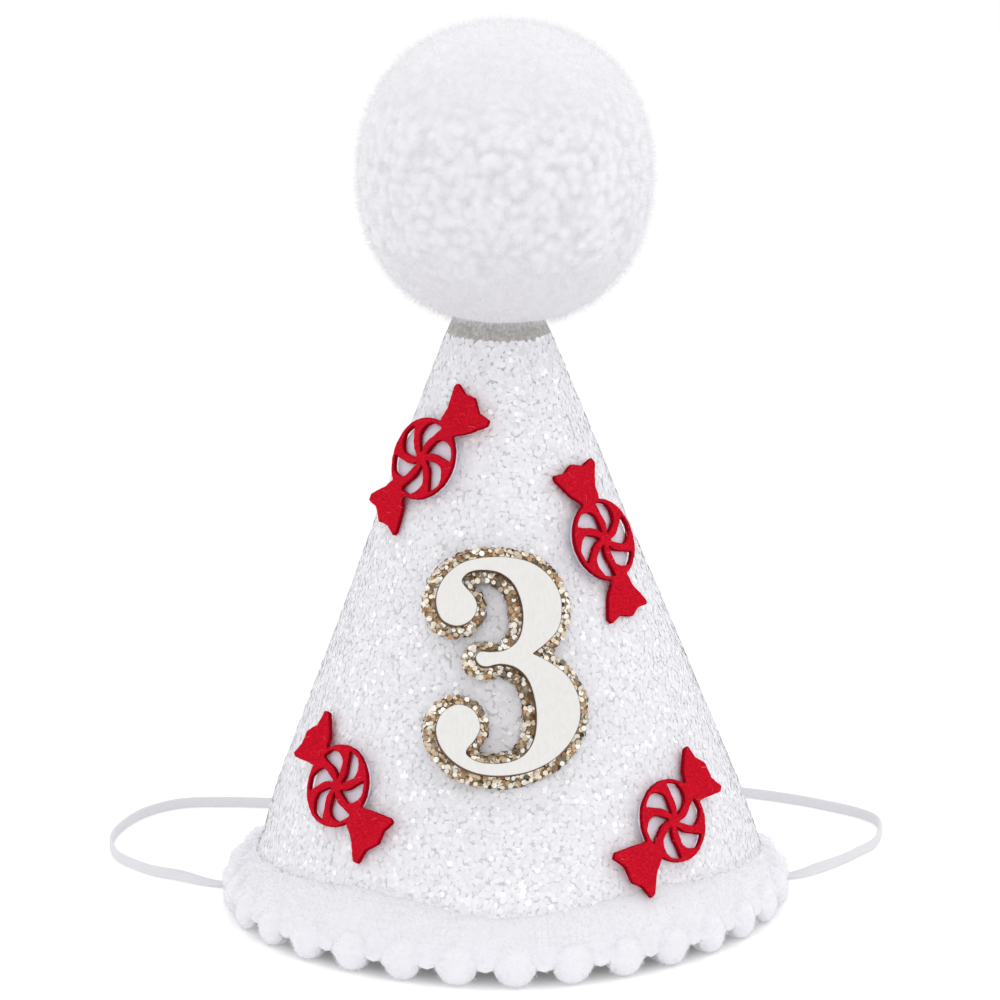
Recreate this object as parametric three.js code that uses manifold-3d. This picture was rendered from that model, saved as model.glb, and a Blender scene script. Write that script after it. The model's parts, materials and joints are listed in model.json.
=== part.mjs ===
import * as THREE from 'three';
import Module from 'manifold-3d';
import { TessellateModifier } from 'three/addons/modifiers/TessellateModifier.js';
import { mergeVertices } from 'three/addons/utils/BufferGeometryUtils.js';

// A small party hat, in millimetres, +Z up. It stands on Z = 0 on the balls of its fringe,
// and its front faces -Y. The origin is the middle of the rim. Turns round the hat start
// at the front and grow towards +X.

// Clearance between pieces that touch on the real hat
const GAP = 0.3;

// Cone of stiff glitter cloth: its outer radius at Z = 0, how much that shrinks for each
// millimetre of height, and the small lean of its axis towards -X
const CONE = {
  footRadius: 49.7,
  slope: 0.394,
  wall: 2,
  bottom: 4.8,
  top: 116,
  crownThickness: 4,
  axisAtFoot: 0.56,
  lean: 0.0117,
  segments: 48,
};

// Yarn pompom on the tip, a little taller than wide
const POMPOM = { radius: 26.3, tall: 1.03, centreX: 0.5, centreZ: 131.2, around: 24, rings: 16 };

// Woven tape round the rim, thickest just above its lower edge: radius and height of its outer face
const TAPE = {
  innerRadius: 42,
  outline: [
    { radius: 49.3, z: 4.2 },
    { radius: 49.5, z: 5.3 },
    { radius: 49.1, z: 6.4 },
    { radius: 48.2, z: 7.9 },
    { radius: 47.1, z: 9.6 },
    { radius: 46.5, z: 11.4 },
  ],
  segments: 48,
};

// Fringe balls under the tape, each a little flat where it stands
const BALL = {
  count: 32,
  radius: 3.25,
  ringRadius: 48.7,
  centreZ: 3.05,
  firstTurn: 0.042,
  around: 10,
  rings: 7,
};

// Flat plates of the numeral: they touch the cone along one slanted line of the cone, and the
// glitter backing lies a little to the left of the wooden face
const PLATES = {
  turn: 0.087,
  z: 50.3,
  sideways: -2.1,
  backing: 1.2,
  backingShift: -0.2,
  face: 2.8,
  border: 1.6,
};

// Outline of the numeral from the notch on its right side, anticlockwise
const NOTCH = [4.5, 2.0];
const NUMERAL_OUTLINE = [
  [6.8, 3.7], [8.9, 6.0], [9.7, 9.0], [9.4, 12.4], [7.6, 15.5], [4.7, 17.7], [1.0, 18.7], [-3.0, 18.8],
  [-6.8, 18.1], [-9.6, 16.3], [-11.4, 13.7], [-11.9, 10.8], [-10.9, 8.1], [-8.4, 7.0], [-6.0, 7.9],
  [-4.8, 10.0], [-5.3, 12.1], [-6.8, 13.9], [-7.2, 15.0], [-5.9, 16.2], [-3.5, 16.5], [-0.7, 15.9],
  [1.5, 14.0], [2.7, 10.9], [2.9, 7.6], [2.0, 4.5], [-0.2, 2.8], [-2.8, 2.5], [-4.6, 2.6], [-5.4, 1.6],
  [-4.9, 0.4], [-3.6, -0.1], [-1.1, 0.3], [1.5, -0.4], [3.4, -2.4], [4.4, -5.5], [4.7, -9.1],
  [4.1, -12.7], [2.3, -15.3], [-0.8, -16.5], [-4.7, -16.4], [-6.9, -15.4], [-7.4, -14.3], [-5.8, -12.4],
  [-4.9, -10.2], [-5.9, -7.5], [-8.6, -6.3], [-11.4, -7.7], [-12.6, -10.6], [-11.7, -13.9],
  [-9.2, -16.6], [-5.7, -18.3], [-1.5, -18.8], [3.1, -18.2], [7.3, -16.3], [10.5, -13.2], [12.2, -9.4],
  [12.0, -5.3], [10.1, -1.7], [7.0, 0.7],
];
const NUMERAL_POINTS = 90;

// Share of the border that a point of the wider outline keeps from the numeral at least
const BORDER_SHARE = 0.97;

// Wrapped candy cut from felt: a round with six openings between curved arms, and two tails.
// An opening has its full width from the shoulder on. The stiffness is how far the felt is from
// wrapped close round the cone, at 0, to flat, at 1.
const CANDY = {
  radius: 7.25,
  rimWidth: 0.8,
  hubRadius: 1.1,
  shoulder: 2.8,
  arms: 6,
  armShare: 0.43,
  swirl: 0.45,
  rimTurn: 0.11,
  felt: 1,
  stiffness: 0.75,
  discRadius: 6.8,
  disc: 0.6,
  discPoints: 24,
  roundSteps: 8,
  descent: 3,
  longestEdge: 3.6,
  splits: 12,
};

// Upper edge of one tail from the neck to its wavy end, then back along the lower edge
const TAIL = [
  [6.97, 2.0], [12.6, 5.3], [13.5, 5.1], [13.7, 2.4], [14.3, 0.2], [13.6, -2.3], [13.9, -4.8],
  [12.9, -5.4], [6.97, -2.0],
];

// Where each candy lies: turn round the cone and height of its middle, the angle of its long axis
// from the level, and the way its arms curl
const CANDIES = [
  { name: 'candy_1', turn: -0.8, z: 82.7, axis: 1.01, curl: -1 },
  { name: 'candy_2', turn: 0.838, z: 69.0, axis: 1.685, curl: 1 },
  { name: 'candy_3', turn: -0.807, z: 27.95, axis: 2.555, curl: 1 },
  { name: 'candy_4', turn: 0.751, z: 22.7, axis: 0.575, curl: 1 },
];

// Flat elastic for the chin, from its end inside the left of the hat, along the surface behind
// the hat, to its end inside the right
const ELASTIC = {
  width: 2,
  thickness: 0.7,
  corner: 0.2,
  steps: 78,
  flatEnd: 17,
  turnLength: 16,
  samples: 400,
};
const ELASTIC_ROUTE = [
  [-40.8, 2.3, 14], [-42.9, 2.4, 8.5], [-44.1, 2.5, 5.5], [-45.6, 2.6, 2.9], [-47.4, 2.7, 1.4],
  [-50.5, 2.9, 0.6], [-53.8, 3.9, 0.7], [-58.6, 6.2, 1.1], [-63.5, 8.9, 1.1], [-67.3, 12.6, 1.1],
  [-70.8, 17.5, 1.1], [-72.5, 23.8, 1.1], [-72.6, 30.2, 1.1], [-71.3, 36.4, 1.1], [-68.4, 43.3, 1.1],
  [-64.9, 47.5, 1.1], [-60.4, 50.2, 1.1], [-51.9, 50.7, 1.1], [-40.0, 50.1, 1.1], [-28.0, 52.1, 1.1],
  [-14.0, 55.7, 1.1], [2.0, 58.7, 1.1], [18.0, 60.4, 1.1], [33.0, 60.0, 1.1], [46.1, 57.0, 1.1],
  [56.1, 52.4, 1.1], [62.0, 48.5, 1.1], [67.9, 43.7, 1.1], [70.4, 40.1, 1.1], [71.1, 35.3, 1.1],
  [69.1, 25.1, 1.1], [66.1, 20.5, 1.1], [61.7, 14.6, 1.1], [57.4, 10.5, 1.0], [54.2, 8.4, 0.7],
  [51.0, 7.2, 0.6], [47.8, 6.8, 1.4], [46.0, 6.5, 2.9], [44.5, 6.3, 5.5], [41.2, 5.8, 14],
];

const WELD = 1e-4;
const QUARTER = Math.PI / 2;
const CONE_ANGLE = Math.atan(CONE.slope);
const CONE_APEX = CONE.footRadius / CONE.slope;

const wasm = await Module();
wasm.setup();

// Joins the doubled points of a geometry and drops the triangles that this closes up.
function welded(geometry) {
  const bare = geometry.clone();
  bare.deleteAttribute('normal');
  bare.deleteAttribute('uv');
  const merged = mergeVertices(bare, WELD);
  const corners = merged.index.array;
  const kept = [];
  for (let start = 0; start < corners.length; start += 3) {
    const [a, b, c] = corners.slice(start, start + 3);
    if (a !== b && b !== c && c !== a) kept.push(a, b, c);
  }
  merged.setIndex(kept);
  merged.computeVertexNormals();
  return merged;
}

function solidOf(geometry) {
  const closed = welded(geometry);
  const vertProperties = new Float32Array(closed.attributes.position.array);
  const triVerts = new Uint32Array(closed.index.array);
  return new wasm.Manifold(new wasm.Mesh({ numProp: 3, vertProperties, triVerts }));
}

function geometryOf(solid) {
  const mesh = solid.getMesh();
  const geometry = new THREE.BufferGeometry();
  geometry.setAttribute('position', new THREE.BufferAttribute(mesh.vertProperties, 3));
  geometry.setIndex(new THREE.BufferAttribute(mesh.triVerts, 1));
  geometry.computeVertexNormals();
  return geometry;
}

// Turns a profile of [radius, height] pairs once round the Z axis.
function revolved(profile, segments) {
  const points = profile.map(([radius, z]) => new THREE.Vector2(radius, z));
  return new THREE.LatheGeometry(points, segments).rotateX(QUARTER);
}

function coneRadius(z) {
  return CONE.footRadius - CONE.slope * z;
}

function axisX(z) {
  return CONE.axisAtFoot - CONE.lean * z;
}

// Leans an upright geometry the way that the cone leans.
function leaned(geometry) {
  const lean = new THREE.Matrix4().makeShear(0, 0, 0, 0, -CONE.lean, 0);
  return geometry.applyMatrix4(lean).translate(CONE.axisAtFoot, 0, 0);
}

function coneShell() {
  const inside = CONE.top - CONE.crownThickness;
  return leaned(revolved([
    [0, inside],
    [coneRadius(inside) - CONE.wall, inside],
    [coneRadius(CONE.bottom) - CONE.wall, CONE.bottom],
    [coneRadius(CONE.bottom), CONE.bottom],
    [coneRadius(CONE.top), CONE.top],
    [0, CONE.top],
  ], CONE.segments));
}

// The space that the cone needs, with its clearance, down past the rim.
function coneSpace() {
  const spare = GAP / Math.cos(CONE_ANGLE);
  const top = CONE.top + GAP;
  return solidOf(leaned(revolved([
    [0, 0],
    [coneRadius(0) + spare, 0],
    [coneRadius(top) + spare, top],
    [0, top],
  ], CONE.segments)));
}

function pompom(space) {
  const ball = new THREE.SphereGeometry(POMPOM.radius, POMPOM.around, POMPOM.rings)
    .rotateX(QUARTER)
    .scale(1, 1, POMPOM.tall)
    .translate(POMPOM.centreX, 0, POMPOM.centreZ);
  return geometryOf(solidOf(ball).subtract(space));
}

function tapeProfile(spare) {
  const foot = TAPE.outline[0].z - spare;
  const top = TAPE.outline.at(-1).z + spare;
  const outside = TAPE.outline.map((row) => [row.radius + spare, row.z]);
  outside[0][1] = foot;
  outside.at(-1)[1] = top;
  const first = [TAPE.innerRadius, foot];
  return [first, ...outside, [TAPE.innerRadius, top], first];
}

function trimTape(space) {
  return geometryOf(solidOf(revolved(tapeProfile(0), TAPE.segments)).subtract(space));
}

// The front ball of the fringe: round, flat on the ground, and pressed up against the tape.
function fringeBall() {
  const ball = new THREE.SphereGeometry(BALL.radius, BALL.around, BALL.rings)
    .rotateX(QUARTER)
    .translate(0, -BALL.ringRadius, BALL.centreZ);
  const width = 4 * BALL.radius;
  const ground = new THREE.BoxGeometry(width, width, width).translate(0, -BALL.ringRadius, -width / 2);
  const tape = revolved(tapeProfile(GAP), TAPE.segments);
  return geometryOf(solidOf(ball).subtract(solidOf(ground)).subtract(solidOf(tape)));
}

function numeralPoints() {
  const corners = [NOTCH, ...NUMERAL_OUTLINE, NOTCH].map(([x, y]) => new THREE.Vector2(x, y));
  return new THREE.SplineCurve(corners).getPoints(NUMERAL_POINTS).slice(0, -1);
}

// Moves an outline outwards by a distance and leaves out the points that come nearer than that.
function grown(outline, distance) {
  const moved = outline.map((point, index) => {
    const before = outline.at(index - 1);
    const after = outline[(index + 1) % outline.length];
    const run = after.clone().sub(before).normalize();
    return new THREE.Vector2(point.x + run.y * distance, point.y - run.x * distance);
  });
  const nearest = distance * BORDER_SHARE;
  return moved.filter((point) => outline.every((other) => point.distanceTo(other) > nearest));
}

function plate(outline, thickness) {
  const shape = new THREE.Shape(outline);
  return welded(new THREE.ExtrudeGeometry(shape, { depth: thickness, bevelEnabled: false }));
}

// The flat plane that touches the cone at one spot: across, up the slope and out from the cone.
function planeOnCone(turn, z) {
  const across = new THREE.Vector3(Math.cos(turn), Math.sin(turn), 0);
  const level = new THREE.Vector3(Math.sin(turn), -Math.cos(turn), 0);
  const up = new THREE.Vector3(0, 0, 1);
  const out = level.clone().multiplyScalar(Math.cos(CONE_ANGLE)).addScaledVector(up, Math.sin(CONE_ANGLE));
  const slope = new THREE.Vector3().crossVectors(out, across);
  const foot = level.clone().multiplyScalar(coneRadius(z)).addScaledVector(up, z);
  foot.x += axisX(z);
  return new THREE.Matrix4().makeBasis(across, slope, out).setPosition(foot);
}

// One opening of a candy between two arms, pointed at the hub and wide at the rim.
function petal(order, curl) {
  const rim = CANDY.radius - CANDY.rimWidth;
  const pitch = 2 * Math.PI / CANDY.arms;
  const half = pitch * (1 - CANDY.armShare) / 2;
  const middle = (order + 0.5) * pitch;
  const at = (radius, side) => {
    const swirl = CANDY.rimTurn + CANDY.swirl * (radius / rim - 1);
    const angle = middle + curl * swirl + side * half;
    return new THREE.Vector2(radius * Math.cos(angle), radius * Math.sin(angle));
  };
  return new THREE.Path([
    at(CANDY.hubRadius, 0), at(CANDY.shoulder, -1), at(rim, -1), at(rim, 0), at(rim, 1),
    at(CANDY.shoulder, 1),
  ]);
}

// Felt outline of a candy: two tails and the round between them.
function candyShape(curl) {
  const neck = Math.atan2(TAIL[0][1], TAIL[0][0]);
  const outline = [];
  for (const turn of [0, Math.PI]) {
    const tail = TAIL.map(([x, y]) => new THREE.Vector2(x, y).rotateAround(new THREE.Vector2(), turn));
    outline.push(...tail.reverse());
    for (let step = 1; step < CANDY.roundSteps; step += 1) {
      const angle = turn + neck + (Math.PI - 2 * neck) * step / CANDY.roundSteps;
      outline.push(new THREE.Vector2(CANDY.radius * Math.cos(angle), CANDY.radius * Math.sin(angle)));
    }
  }
  const shape = new THREE.Shape(outline);
  for (let order = 0; order < CANDY.arms; order += 1) shape.holes.push(petal(order, curl));
  return shape;
}

// Bends a flat geometry part of the way round the cone. The flat X axis follows the candy's long
// axis, and the heights above the flat plane become heights above the cone.
function laidOnCone(geometry, place, liftAt) {
  const fine = new TessellateModifier(CANDY.longestEdge, CANDY.splits).modify(geometry);
  const plane = planeOnCone(place.turn, place.z);
  const slant = (CONE_APEX - place.z) / Math.cos(CONE_ANGLE);
  const position = fine.attributes.position;
  for (let index = 0; index < position.count; index += 1) {
    const flat = new THREE.Vector2(position.getX(index), position.getY(index));
    const height = position.getZ(index) + liftAt(flat.length());
    flat.rotateAround(new THREE.Vector2(), place.axis);
    const reach = Math.hypot(flat.x, slant - flat.y);
    const turn = place.turn + Math.atan2(flat.x, slant - flat.y) / Math.sin(CONE_ANGLE);
    const radius = reach * Math.sin(CONE_ANGLE) + height * Math.cos(CONE_ANGLE);
    const z = CONE_APEX - reach * Math.cos(CONE_ANGLE) + height * Math.sin(CONE_ANGLE);
    const wrapped = new THREE.Vector3(axisX(z) + radius * Math.sin(turn), -radius * Math.cos(turn), z);
    const level = new THREE.Vector3(flat.x, flat.y, height).applyMatrix4(plane);
    position.setXYZ(index, ...wrapped.lerp(level, CANDY.stiffness));
  }
  return welded(fine);
}

// The felt lies over its disc and comes down to the cone at the tails.
function candyFelt(place) {
  const flat = new THREE.ExtrudeGeometry(candyShape(place.curl), { depth: CANDY.felt, bevelEnabled: false });
  return laidOnCone(flat, place, (reach) => {
    const down = THREE.MathUtils.smoothstep(reach, CANDY.radius, CANDY.radius + CANDY.descent);
    return GAP + (1 - down) * (CANDY.disc + GAP);
  });
}

function candyDisc(place) {
  const round = [];
  for (let step = 0; step < CANDY.discPoints; step += 1) {
    const angle = 2 * Math.PI * step / CANDY.discPoints;
    round.push(new THREE.Vector2(CANDY.discRadius * Math.cos(angle), CANDY.discRadius * Math.sin(angle)));
  }
  const flat = new THREE.ExtrudeGeometry(new THREE.Shape(round), { depth: CANDY.disc, bevelEnabled: false });
  return laidOnCone(flat, place, () => GAP);
}

// The elastic's route. It lies flat at both ends and turns on its edge along the surface.
class ElasticRoute extends THREE.CatmullRomCurve3 {
  computeFrenetFrames(steps, closed) {
    const frames = super.computeFrenetFrames(steps, closed);
    const length = this.getLength();
    for (let step = 0; step <= steps; step += 1) {
      const fromEnd = length * Math.min(step, steps - step) / steps;
      const turnEnd = ELASTIC.flatEnd + ELASTIC.turnLength;
      const twist = QUARTER * THREE.MathUtils.smoothstep(fromEnd, ELASTIC.flatEnd, turnEnd);
      frames.normals[step].applyAxisAngle(frames.tangents[step], twist);
      frames.binormals[step].applyAxisAngle(frames.tangents[step], twist);
    }
    return frames;
  }
}

function chinElastic() {
  const route = new ElasticRoute(ELASTIC_ROUTE.map((point) => new THREE.Vector3(...point)));
  route.arcLengthDivisions = ELASTIC.samples;
  const halfWidth = ELASTIC.width / 2;
  const half = ELASTIC.thickness / 2;
  const inner = halfWidth - ELASTIC.corner;
  const low = half - ELASTIC.corner;
  const section = new THREE.Shape([
    [halfWidth, -low], [halfWidth, low], [inner, half], [-inner, half],
    [-halfWidth, low], [-halfWidth, -low], [-inner, -half], [inner, -half],
  ].map(([x, y]) => new THREE.Vector2(x, y)));
  return welded(new THREE.ExtrudeGeometry(section, { steps: ELASTIC.steps, extrudePath: route }));
}

const MATERIALS = {
  glitter: new THREE.MeshStandardMaterial({ color: 0xecebf1, roughness: 0.45, metalness: 0 }),
  yarn: new THREE.MeshStandardMaterial({ color: 0xf6f5f9, roughness: 0.95, metalness: 0 }),
  trim: new THREE.MeshStandardMaterial({ color: 0xf3f2f6, roughness: 0.95, metalness: 0 }),
  gold: new THREE.MeshStandardMaterial({ color: 0xc9a76a, roughness: 0.3, metalness: 0.7 }),
  wood: new THREE.MeshStandardMaterial({ color: 0xefebe4, roughness: 0.6, metalness: 0 }),
  redFelt: new THREE.MeshStandardMaterial({ color: 0xc8102a, roughness: 0.9, metalness: 0 }),
  whiteFelt: new THREE.MeshStandardMaterial({ color: 0xdcd8e4, roughness: 0.8, metalness: 0 }),
  elastic: new THREE.MeshStandardMaterial({ color: 0xf1f0f2, roughness: 0.7, metalness: 0 }),
};

const hat = new THREE.Group();

function addPiece(name, geometry, material, parent = hat) {
  const mesh = new THREE.Mesh(geometry, material);
  mesh.name = name;
  parent.add(mesh);
  return mesh;
}

const space = coneSpace();
addPiece('cone_shell', welded(coneShell()), MATERIALS.glitter);
addPiece('pompom', pompom(space), MATERIALS.yarn);
addPiece('trim_tape', trimTape(space), MATERIALS.trim);

const ball = fringeBall();
for (let order = 0; order < BALL.count; order += 1) {
  const name = `ball_${String(order + 1).padStart(2, '0')}`;
  addPiece(name, ball, MATERIALS.trim).rotation.z = BALL.firstTurn + 2 * Math.PI * order / BALL.count;
}

const numeral = new THREE.Group();
numeral.applyMatrix4(planeOnCone(PLATES.turn, PLATES.z));
numeral.translateX(PLATES.sideways);
hat.add(numeral);
const outline = numeralPoints();
addPiece('numeral_backing', plate(grown(outline, PLATES.border), PLATES.backing), MATERIALS.gold, numeral)
  .position.set(PLATES.backingShift, 0, GAP);
addPiece('numeral_face', plate(outline, PLATES.face), MATERIALS.wood, numeral)
  .position.z = GAP + PLATES.backing + GAP;

for (const place of CANDIES) {
  addPiece(`${place.name}_felt`, candyFelt(place), MATERIALS.redFelt);
  addPiece(`${place.name}_disc`, candyDisc(place), MATERIALS.whiteFelt);
}

addPiece('chin_elastic', chinElastic(), MATERIALS.elastic);

export default hat;
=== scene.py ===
"""A small party hat of white glitter cloth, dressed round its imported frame.

The classes hold their sizes in millimetres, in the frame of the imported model: +Z is up, the
front faces -Y, and the hat stands on Z = 0. Meshes are written in metres. Turns round the
hat start at the front and grow towards +X.
"""

import json
import logging
import math
from dataclasses import dataclass
from enum import Enum
from typing import Iterable, Sequence

import bmesh
import bpy
import numpy as np
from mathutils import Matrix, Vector, noise

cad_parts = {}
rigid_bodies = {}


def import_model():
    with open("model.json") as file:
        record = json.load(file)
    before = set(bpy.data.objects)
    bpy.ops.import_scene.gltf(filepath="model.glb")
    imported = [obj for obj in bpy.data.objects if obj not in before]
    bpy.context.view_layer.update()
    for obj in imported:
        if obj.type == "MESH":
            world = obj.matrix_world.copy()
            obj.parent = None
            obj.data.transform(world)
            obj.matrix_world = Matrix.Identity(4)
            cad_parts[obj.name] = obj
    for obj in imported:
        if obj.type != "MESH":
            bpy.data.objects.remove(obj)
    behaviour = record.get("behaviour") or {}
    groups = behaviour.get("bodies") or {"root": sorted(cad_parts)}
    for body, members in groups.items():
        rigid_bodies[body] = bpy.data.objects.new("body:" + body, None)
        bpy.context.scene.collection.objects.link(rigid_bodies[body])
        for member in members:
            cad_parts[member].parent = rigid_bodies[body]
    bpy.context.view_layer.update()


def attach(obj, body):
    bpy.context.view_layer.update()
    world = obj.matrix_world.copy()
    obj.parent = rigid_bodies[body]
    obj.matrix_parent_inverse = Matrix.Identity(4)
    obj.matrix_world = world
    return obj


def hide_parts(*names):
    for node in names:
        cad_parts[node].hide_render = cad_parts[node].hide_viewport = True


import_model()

MM = 0.001
BODY = "root"
FULL_TURN = 2 * math.pi
SEED_SHIFT = 17.3

Colour = tuple[float, float, float]
Face = tuple[int, ...]

log = logging.getLogger("party_hat")


class Wire:
    """One output of a node. Sums on wires add the Math nodes that work them out."""

    def __init__(self, graph: "Graph", socket: bpy.types.NodeSocket) -> None:
        """Keeps the output and the graph that it belongs to."""
        self.graph = graph
        self.socket = socket

    def other(self, name: str) -> "Wire":
        """Gives another output of the same node."""
        return Wire(self.graph, self.graph.find(self.socket.node.outputs, name))

    def sum(self, operation: str, first: "Wire | float", second: "Wire | float") -> "Wire":
        """Adds a Math node for two numbers or wires."""
        return self.graph.node("ShaderNodeMath", {"operation": operation}, {0: first, 1: second})

    def __add__(self, other: "Wire | float") -> "Wire":
        """Adds a number or a wire."""
        return self.sum("ADD", self, other)

    def __radd__(self, other: float) -> "Wire":
        """Adds the wire to a number."""
        return self.sum("ADD", other, self)

    def __sub__(self, other: "Wire | float") -> "Wire":
        """Takes a number or a wire away."""
        return self.sum("SUBTRACT", self, other)

    def __rsub__(self, other: float) -> "Wire":
        """Takes the wire away from a number."""
        return self.sum("SUBTRACT", other, self)

    def __mul__(self, other: "Wire | float") -> "Wire":
        """Multiplies by a number or a wire."""
        return self.sum("MULTIPLY", self, other)

    def __rmul__(self, other: float) -> "Wire":
        """Multiplies a number by the wire."""
        return self.sum("MULTIPLY", other, self)

    def wave(self) -> "Wire":
        """Gives the sine of the wire."""
        return self.graph.node("ShaderNodeMath", {"operation": "SINE"}, {0: self})


class Graph:
    """Adds nodes to a material or to a geometry tree."""

    def __init__(self, tree: bpy.types.NodeTree) -> None:
        """Keeps the tree that the nodes go into."""
        self.tree = tree

    @staticmethod
    def find(sockets: Iterable[bpy.types.NodeSocket], key: str | int) -> bpy.types.NodeSocket:
        """Finds a socket.

        Args:
            sockets: The inputs or outputs of a node.
            key: The place of the socket, its identifier or its name.

        Returns:
            The socket. An identifier counts before a name, and a hidden socket isn't found by name.
        """
        if isinstance(key, int):
            return sockets[key]
        named = [socket for socket in sockets if socket.identifier == key]
        return (named or [socket for socket in sockets if socket.name == key and socket.enabled])[0]

    def node(
        self,
        kind: str,
        settings: dict[str, object] | None = None,
        sockets: dict[str | int, object] | None = None,
        out: str | int = 0,
    ) -> Wire | None:
        """Adds a node.

        Args:
            kind: Blender's name for the type of node.
            settings: The node's properties, set first. A dot leads into a part of the node, and
                "stops" holds pairs of place and colour for a ramp.
            sockets: Values or wires for the inputs.
            out: The output that is wanted.

        Returns:
            That output, or None where the node has no outputs.
        """
        made = self.tree.nodes.new(kind)
        for name, value in (settings or {}).items():
            if name == "stops":
                self._set_stops(made.color_ramp, value)
                continue
            *path, last = name.split(".")
            target = made
            for step in path:
                target = getattr(target, step)
            setattr(target, last, value)
        for key, value in (sockets or {}).items():
            socket = self.find(made.inputs, key)
            if isinstance(value, Wire):
                self.tree.links.new(value.socket, socket)
            elif socket.type == "RGBA":
                socket.default_value = (*value, 1)
            else:
                socket.default_value = value
        return Wire(self, self.find(made.outputs, out)) if len(made.outputs) else None

    @staticmethod
    def _set_stops(ramp: bpy.types.ColorRamp, stops: Sequence[tuple[float, Colour]]) -> None:
        """Gives a ramp its stops."""
        while len(ramp.elements) < len(stops):
            ramp.elements.new(1)
        for element, (place, colour) in zip(ramp.elements, stops):
            element.position = place
            element.color = (*colour, 1)

    def attribute(self, name: str) -> Wire:
        """Reads one of the piece's own attributes as a number."""
        return self.node("ShaderNodeAttribute", {"attribute_name": name}, None, "Fac")

    def place(self) -> Wire:
        """Gives the place on the object, in metres."""
        return self.node("ShaderNodeTexCoord", None, None, "Object")

    def cloud(self, size: float, detail: float = 3, stretch: Colour = (1, 1, 1)) -> Wire:
        """Gives soft noise from 0 to 1.

        Args:
            size: Rough size of its patches, in millimetres.
            detail: How many finer layers it has.
            stretch: How much finer it is along X, Y and Z.

        Returns:
            The noise.
        """
        spot = self.node("ShaderNodeMapping", None, {"Vector": self.place(), "Scale": stretch})
        sockets = {"Vector": spot, "Scale": 1 / (size * MM), "Detail": detail}
        return self.node("ShaderNodeTexNoise", None, sockets, "Fac")

    def blend(self, share: Wire, first: Wire | Colour, second: Wire | Colour) -> Wire:
        """Mixes two colours by a share from 0 to 1."""
        sockets = {"Factor_Float": share, "A_Color": first, "B_Color": second}
        return self.node("ShaderNodeMix", {"data_type": "RGBA"}, sockets, "Result_Color")

    def spread(self, value: Wire, low: float, high: float, to_low: float = 0, to_high: float = 1) -> Wire:
        """Maps the range from low to high onto another range, with soft ends."""
        sockets = {"Value": value, "From Min": low, "From Max": high, "To Min": to_low, "To Max": to_high}
        return self.node("ShaderNodeMapRange", {"interpolation_type": "SMOOTHSTEP"}, sockets, "Result")

    def relief(self, height: Wire, depth: float) -> Wire:
        """Turns a height from 0 to 1 into a bumpy normal, with its depth in millimetres."""
        sockets = {"Height": height, "Distance": depth * MM, "Strength": 1}
        return self.node("ShaderNodeBump", None, sockets, "Normal")


class Finish:
    """A surface finish. Its material is made once and then shared."""

    name = "finish"

    def material(self) -> bpy.types.Material:
        """Gives the material of the finish."""
        made = bpy.data.materials.get(self.name)
        if made is None:
            made = bpy.data.materials.new(self.name)
            made.use_nodes = True
            made.node_tree.nodes.clear()
            graph = Graph(made.node_tree)
            shader = graph.node("ShaderNodeBsdfPrincipled", None, self.surface(graph), "BSDF")
            graph.node("ShaderNodeOutputMaterial", None, {"Surface": shader})
        return made

    def surface(self, graph: Graph) -> dict[str, object]:
        """Gives the values and wires of the shader's inputs."""
        raise NotImplementedError


@dataclass(frozen=True)
class FlakeFinish(Finish):
    """Glitter flakes, each with a tint of its own; the default ramp's last stop paints a few white flakes
    brighter as glints.
    """

    name: str = "white_flakes"
    tints_and_glints: tuple[tuple[float, Colour], ...] = (
        (0.0, (0.675, 0.675, 0.70)),
        (0.05, (0.72, 0.715, 0.75)),
        (0.25, (0.745, 0.74, 0.78)),
        (0.55, (0.77, 0.765, 0.805)),
        (0.85, (0.805, 0.80, 0.835)),
        # Painted highlight: this last stop makes a few flakes brighter to stand in for glints.
        (0.96, (0.90, 0.90, 0.93)),
    )
    metal: float = 0.0
    roughness: tuple[float, float] = (0.3, 0.55)
    patches: float = 0.0

    def surface(self, graph: Graph) -> dict[str, object]:
        """Colours each flake by its shade and by soft patches, and makes some flakes smoother."""
        shade = graph.attribute("shade")
        ramp = {"stops": self.tints_and_glints, "color_ramp.interpolation": "CONSTANT"}
        patch = graph.spread(graph.cloud(3.5, 2), 0.3, 0.7)
        lot = shade * (1 - self.patches) + patch * self.patches
        tint = graph.node("ShaderNodeValToRGB", ramp, {"Fac": lot}, "Color")
        chance = graph.node("ShaderNodeTexWhiteNoise", {"noise_dimensions": "1D"}, {"W": shade}, "Value")
        low, high = self.roughness
        return {
            "Base Color": tint,
            "Roughness": chance * (high - low) + low,
            "Metallic": self.metal,
            "Specular IOR Level": 0.5,
        }


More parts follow.
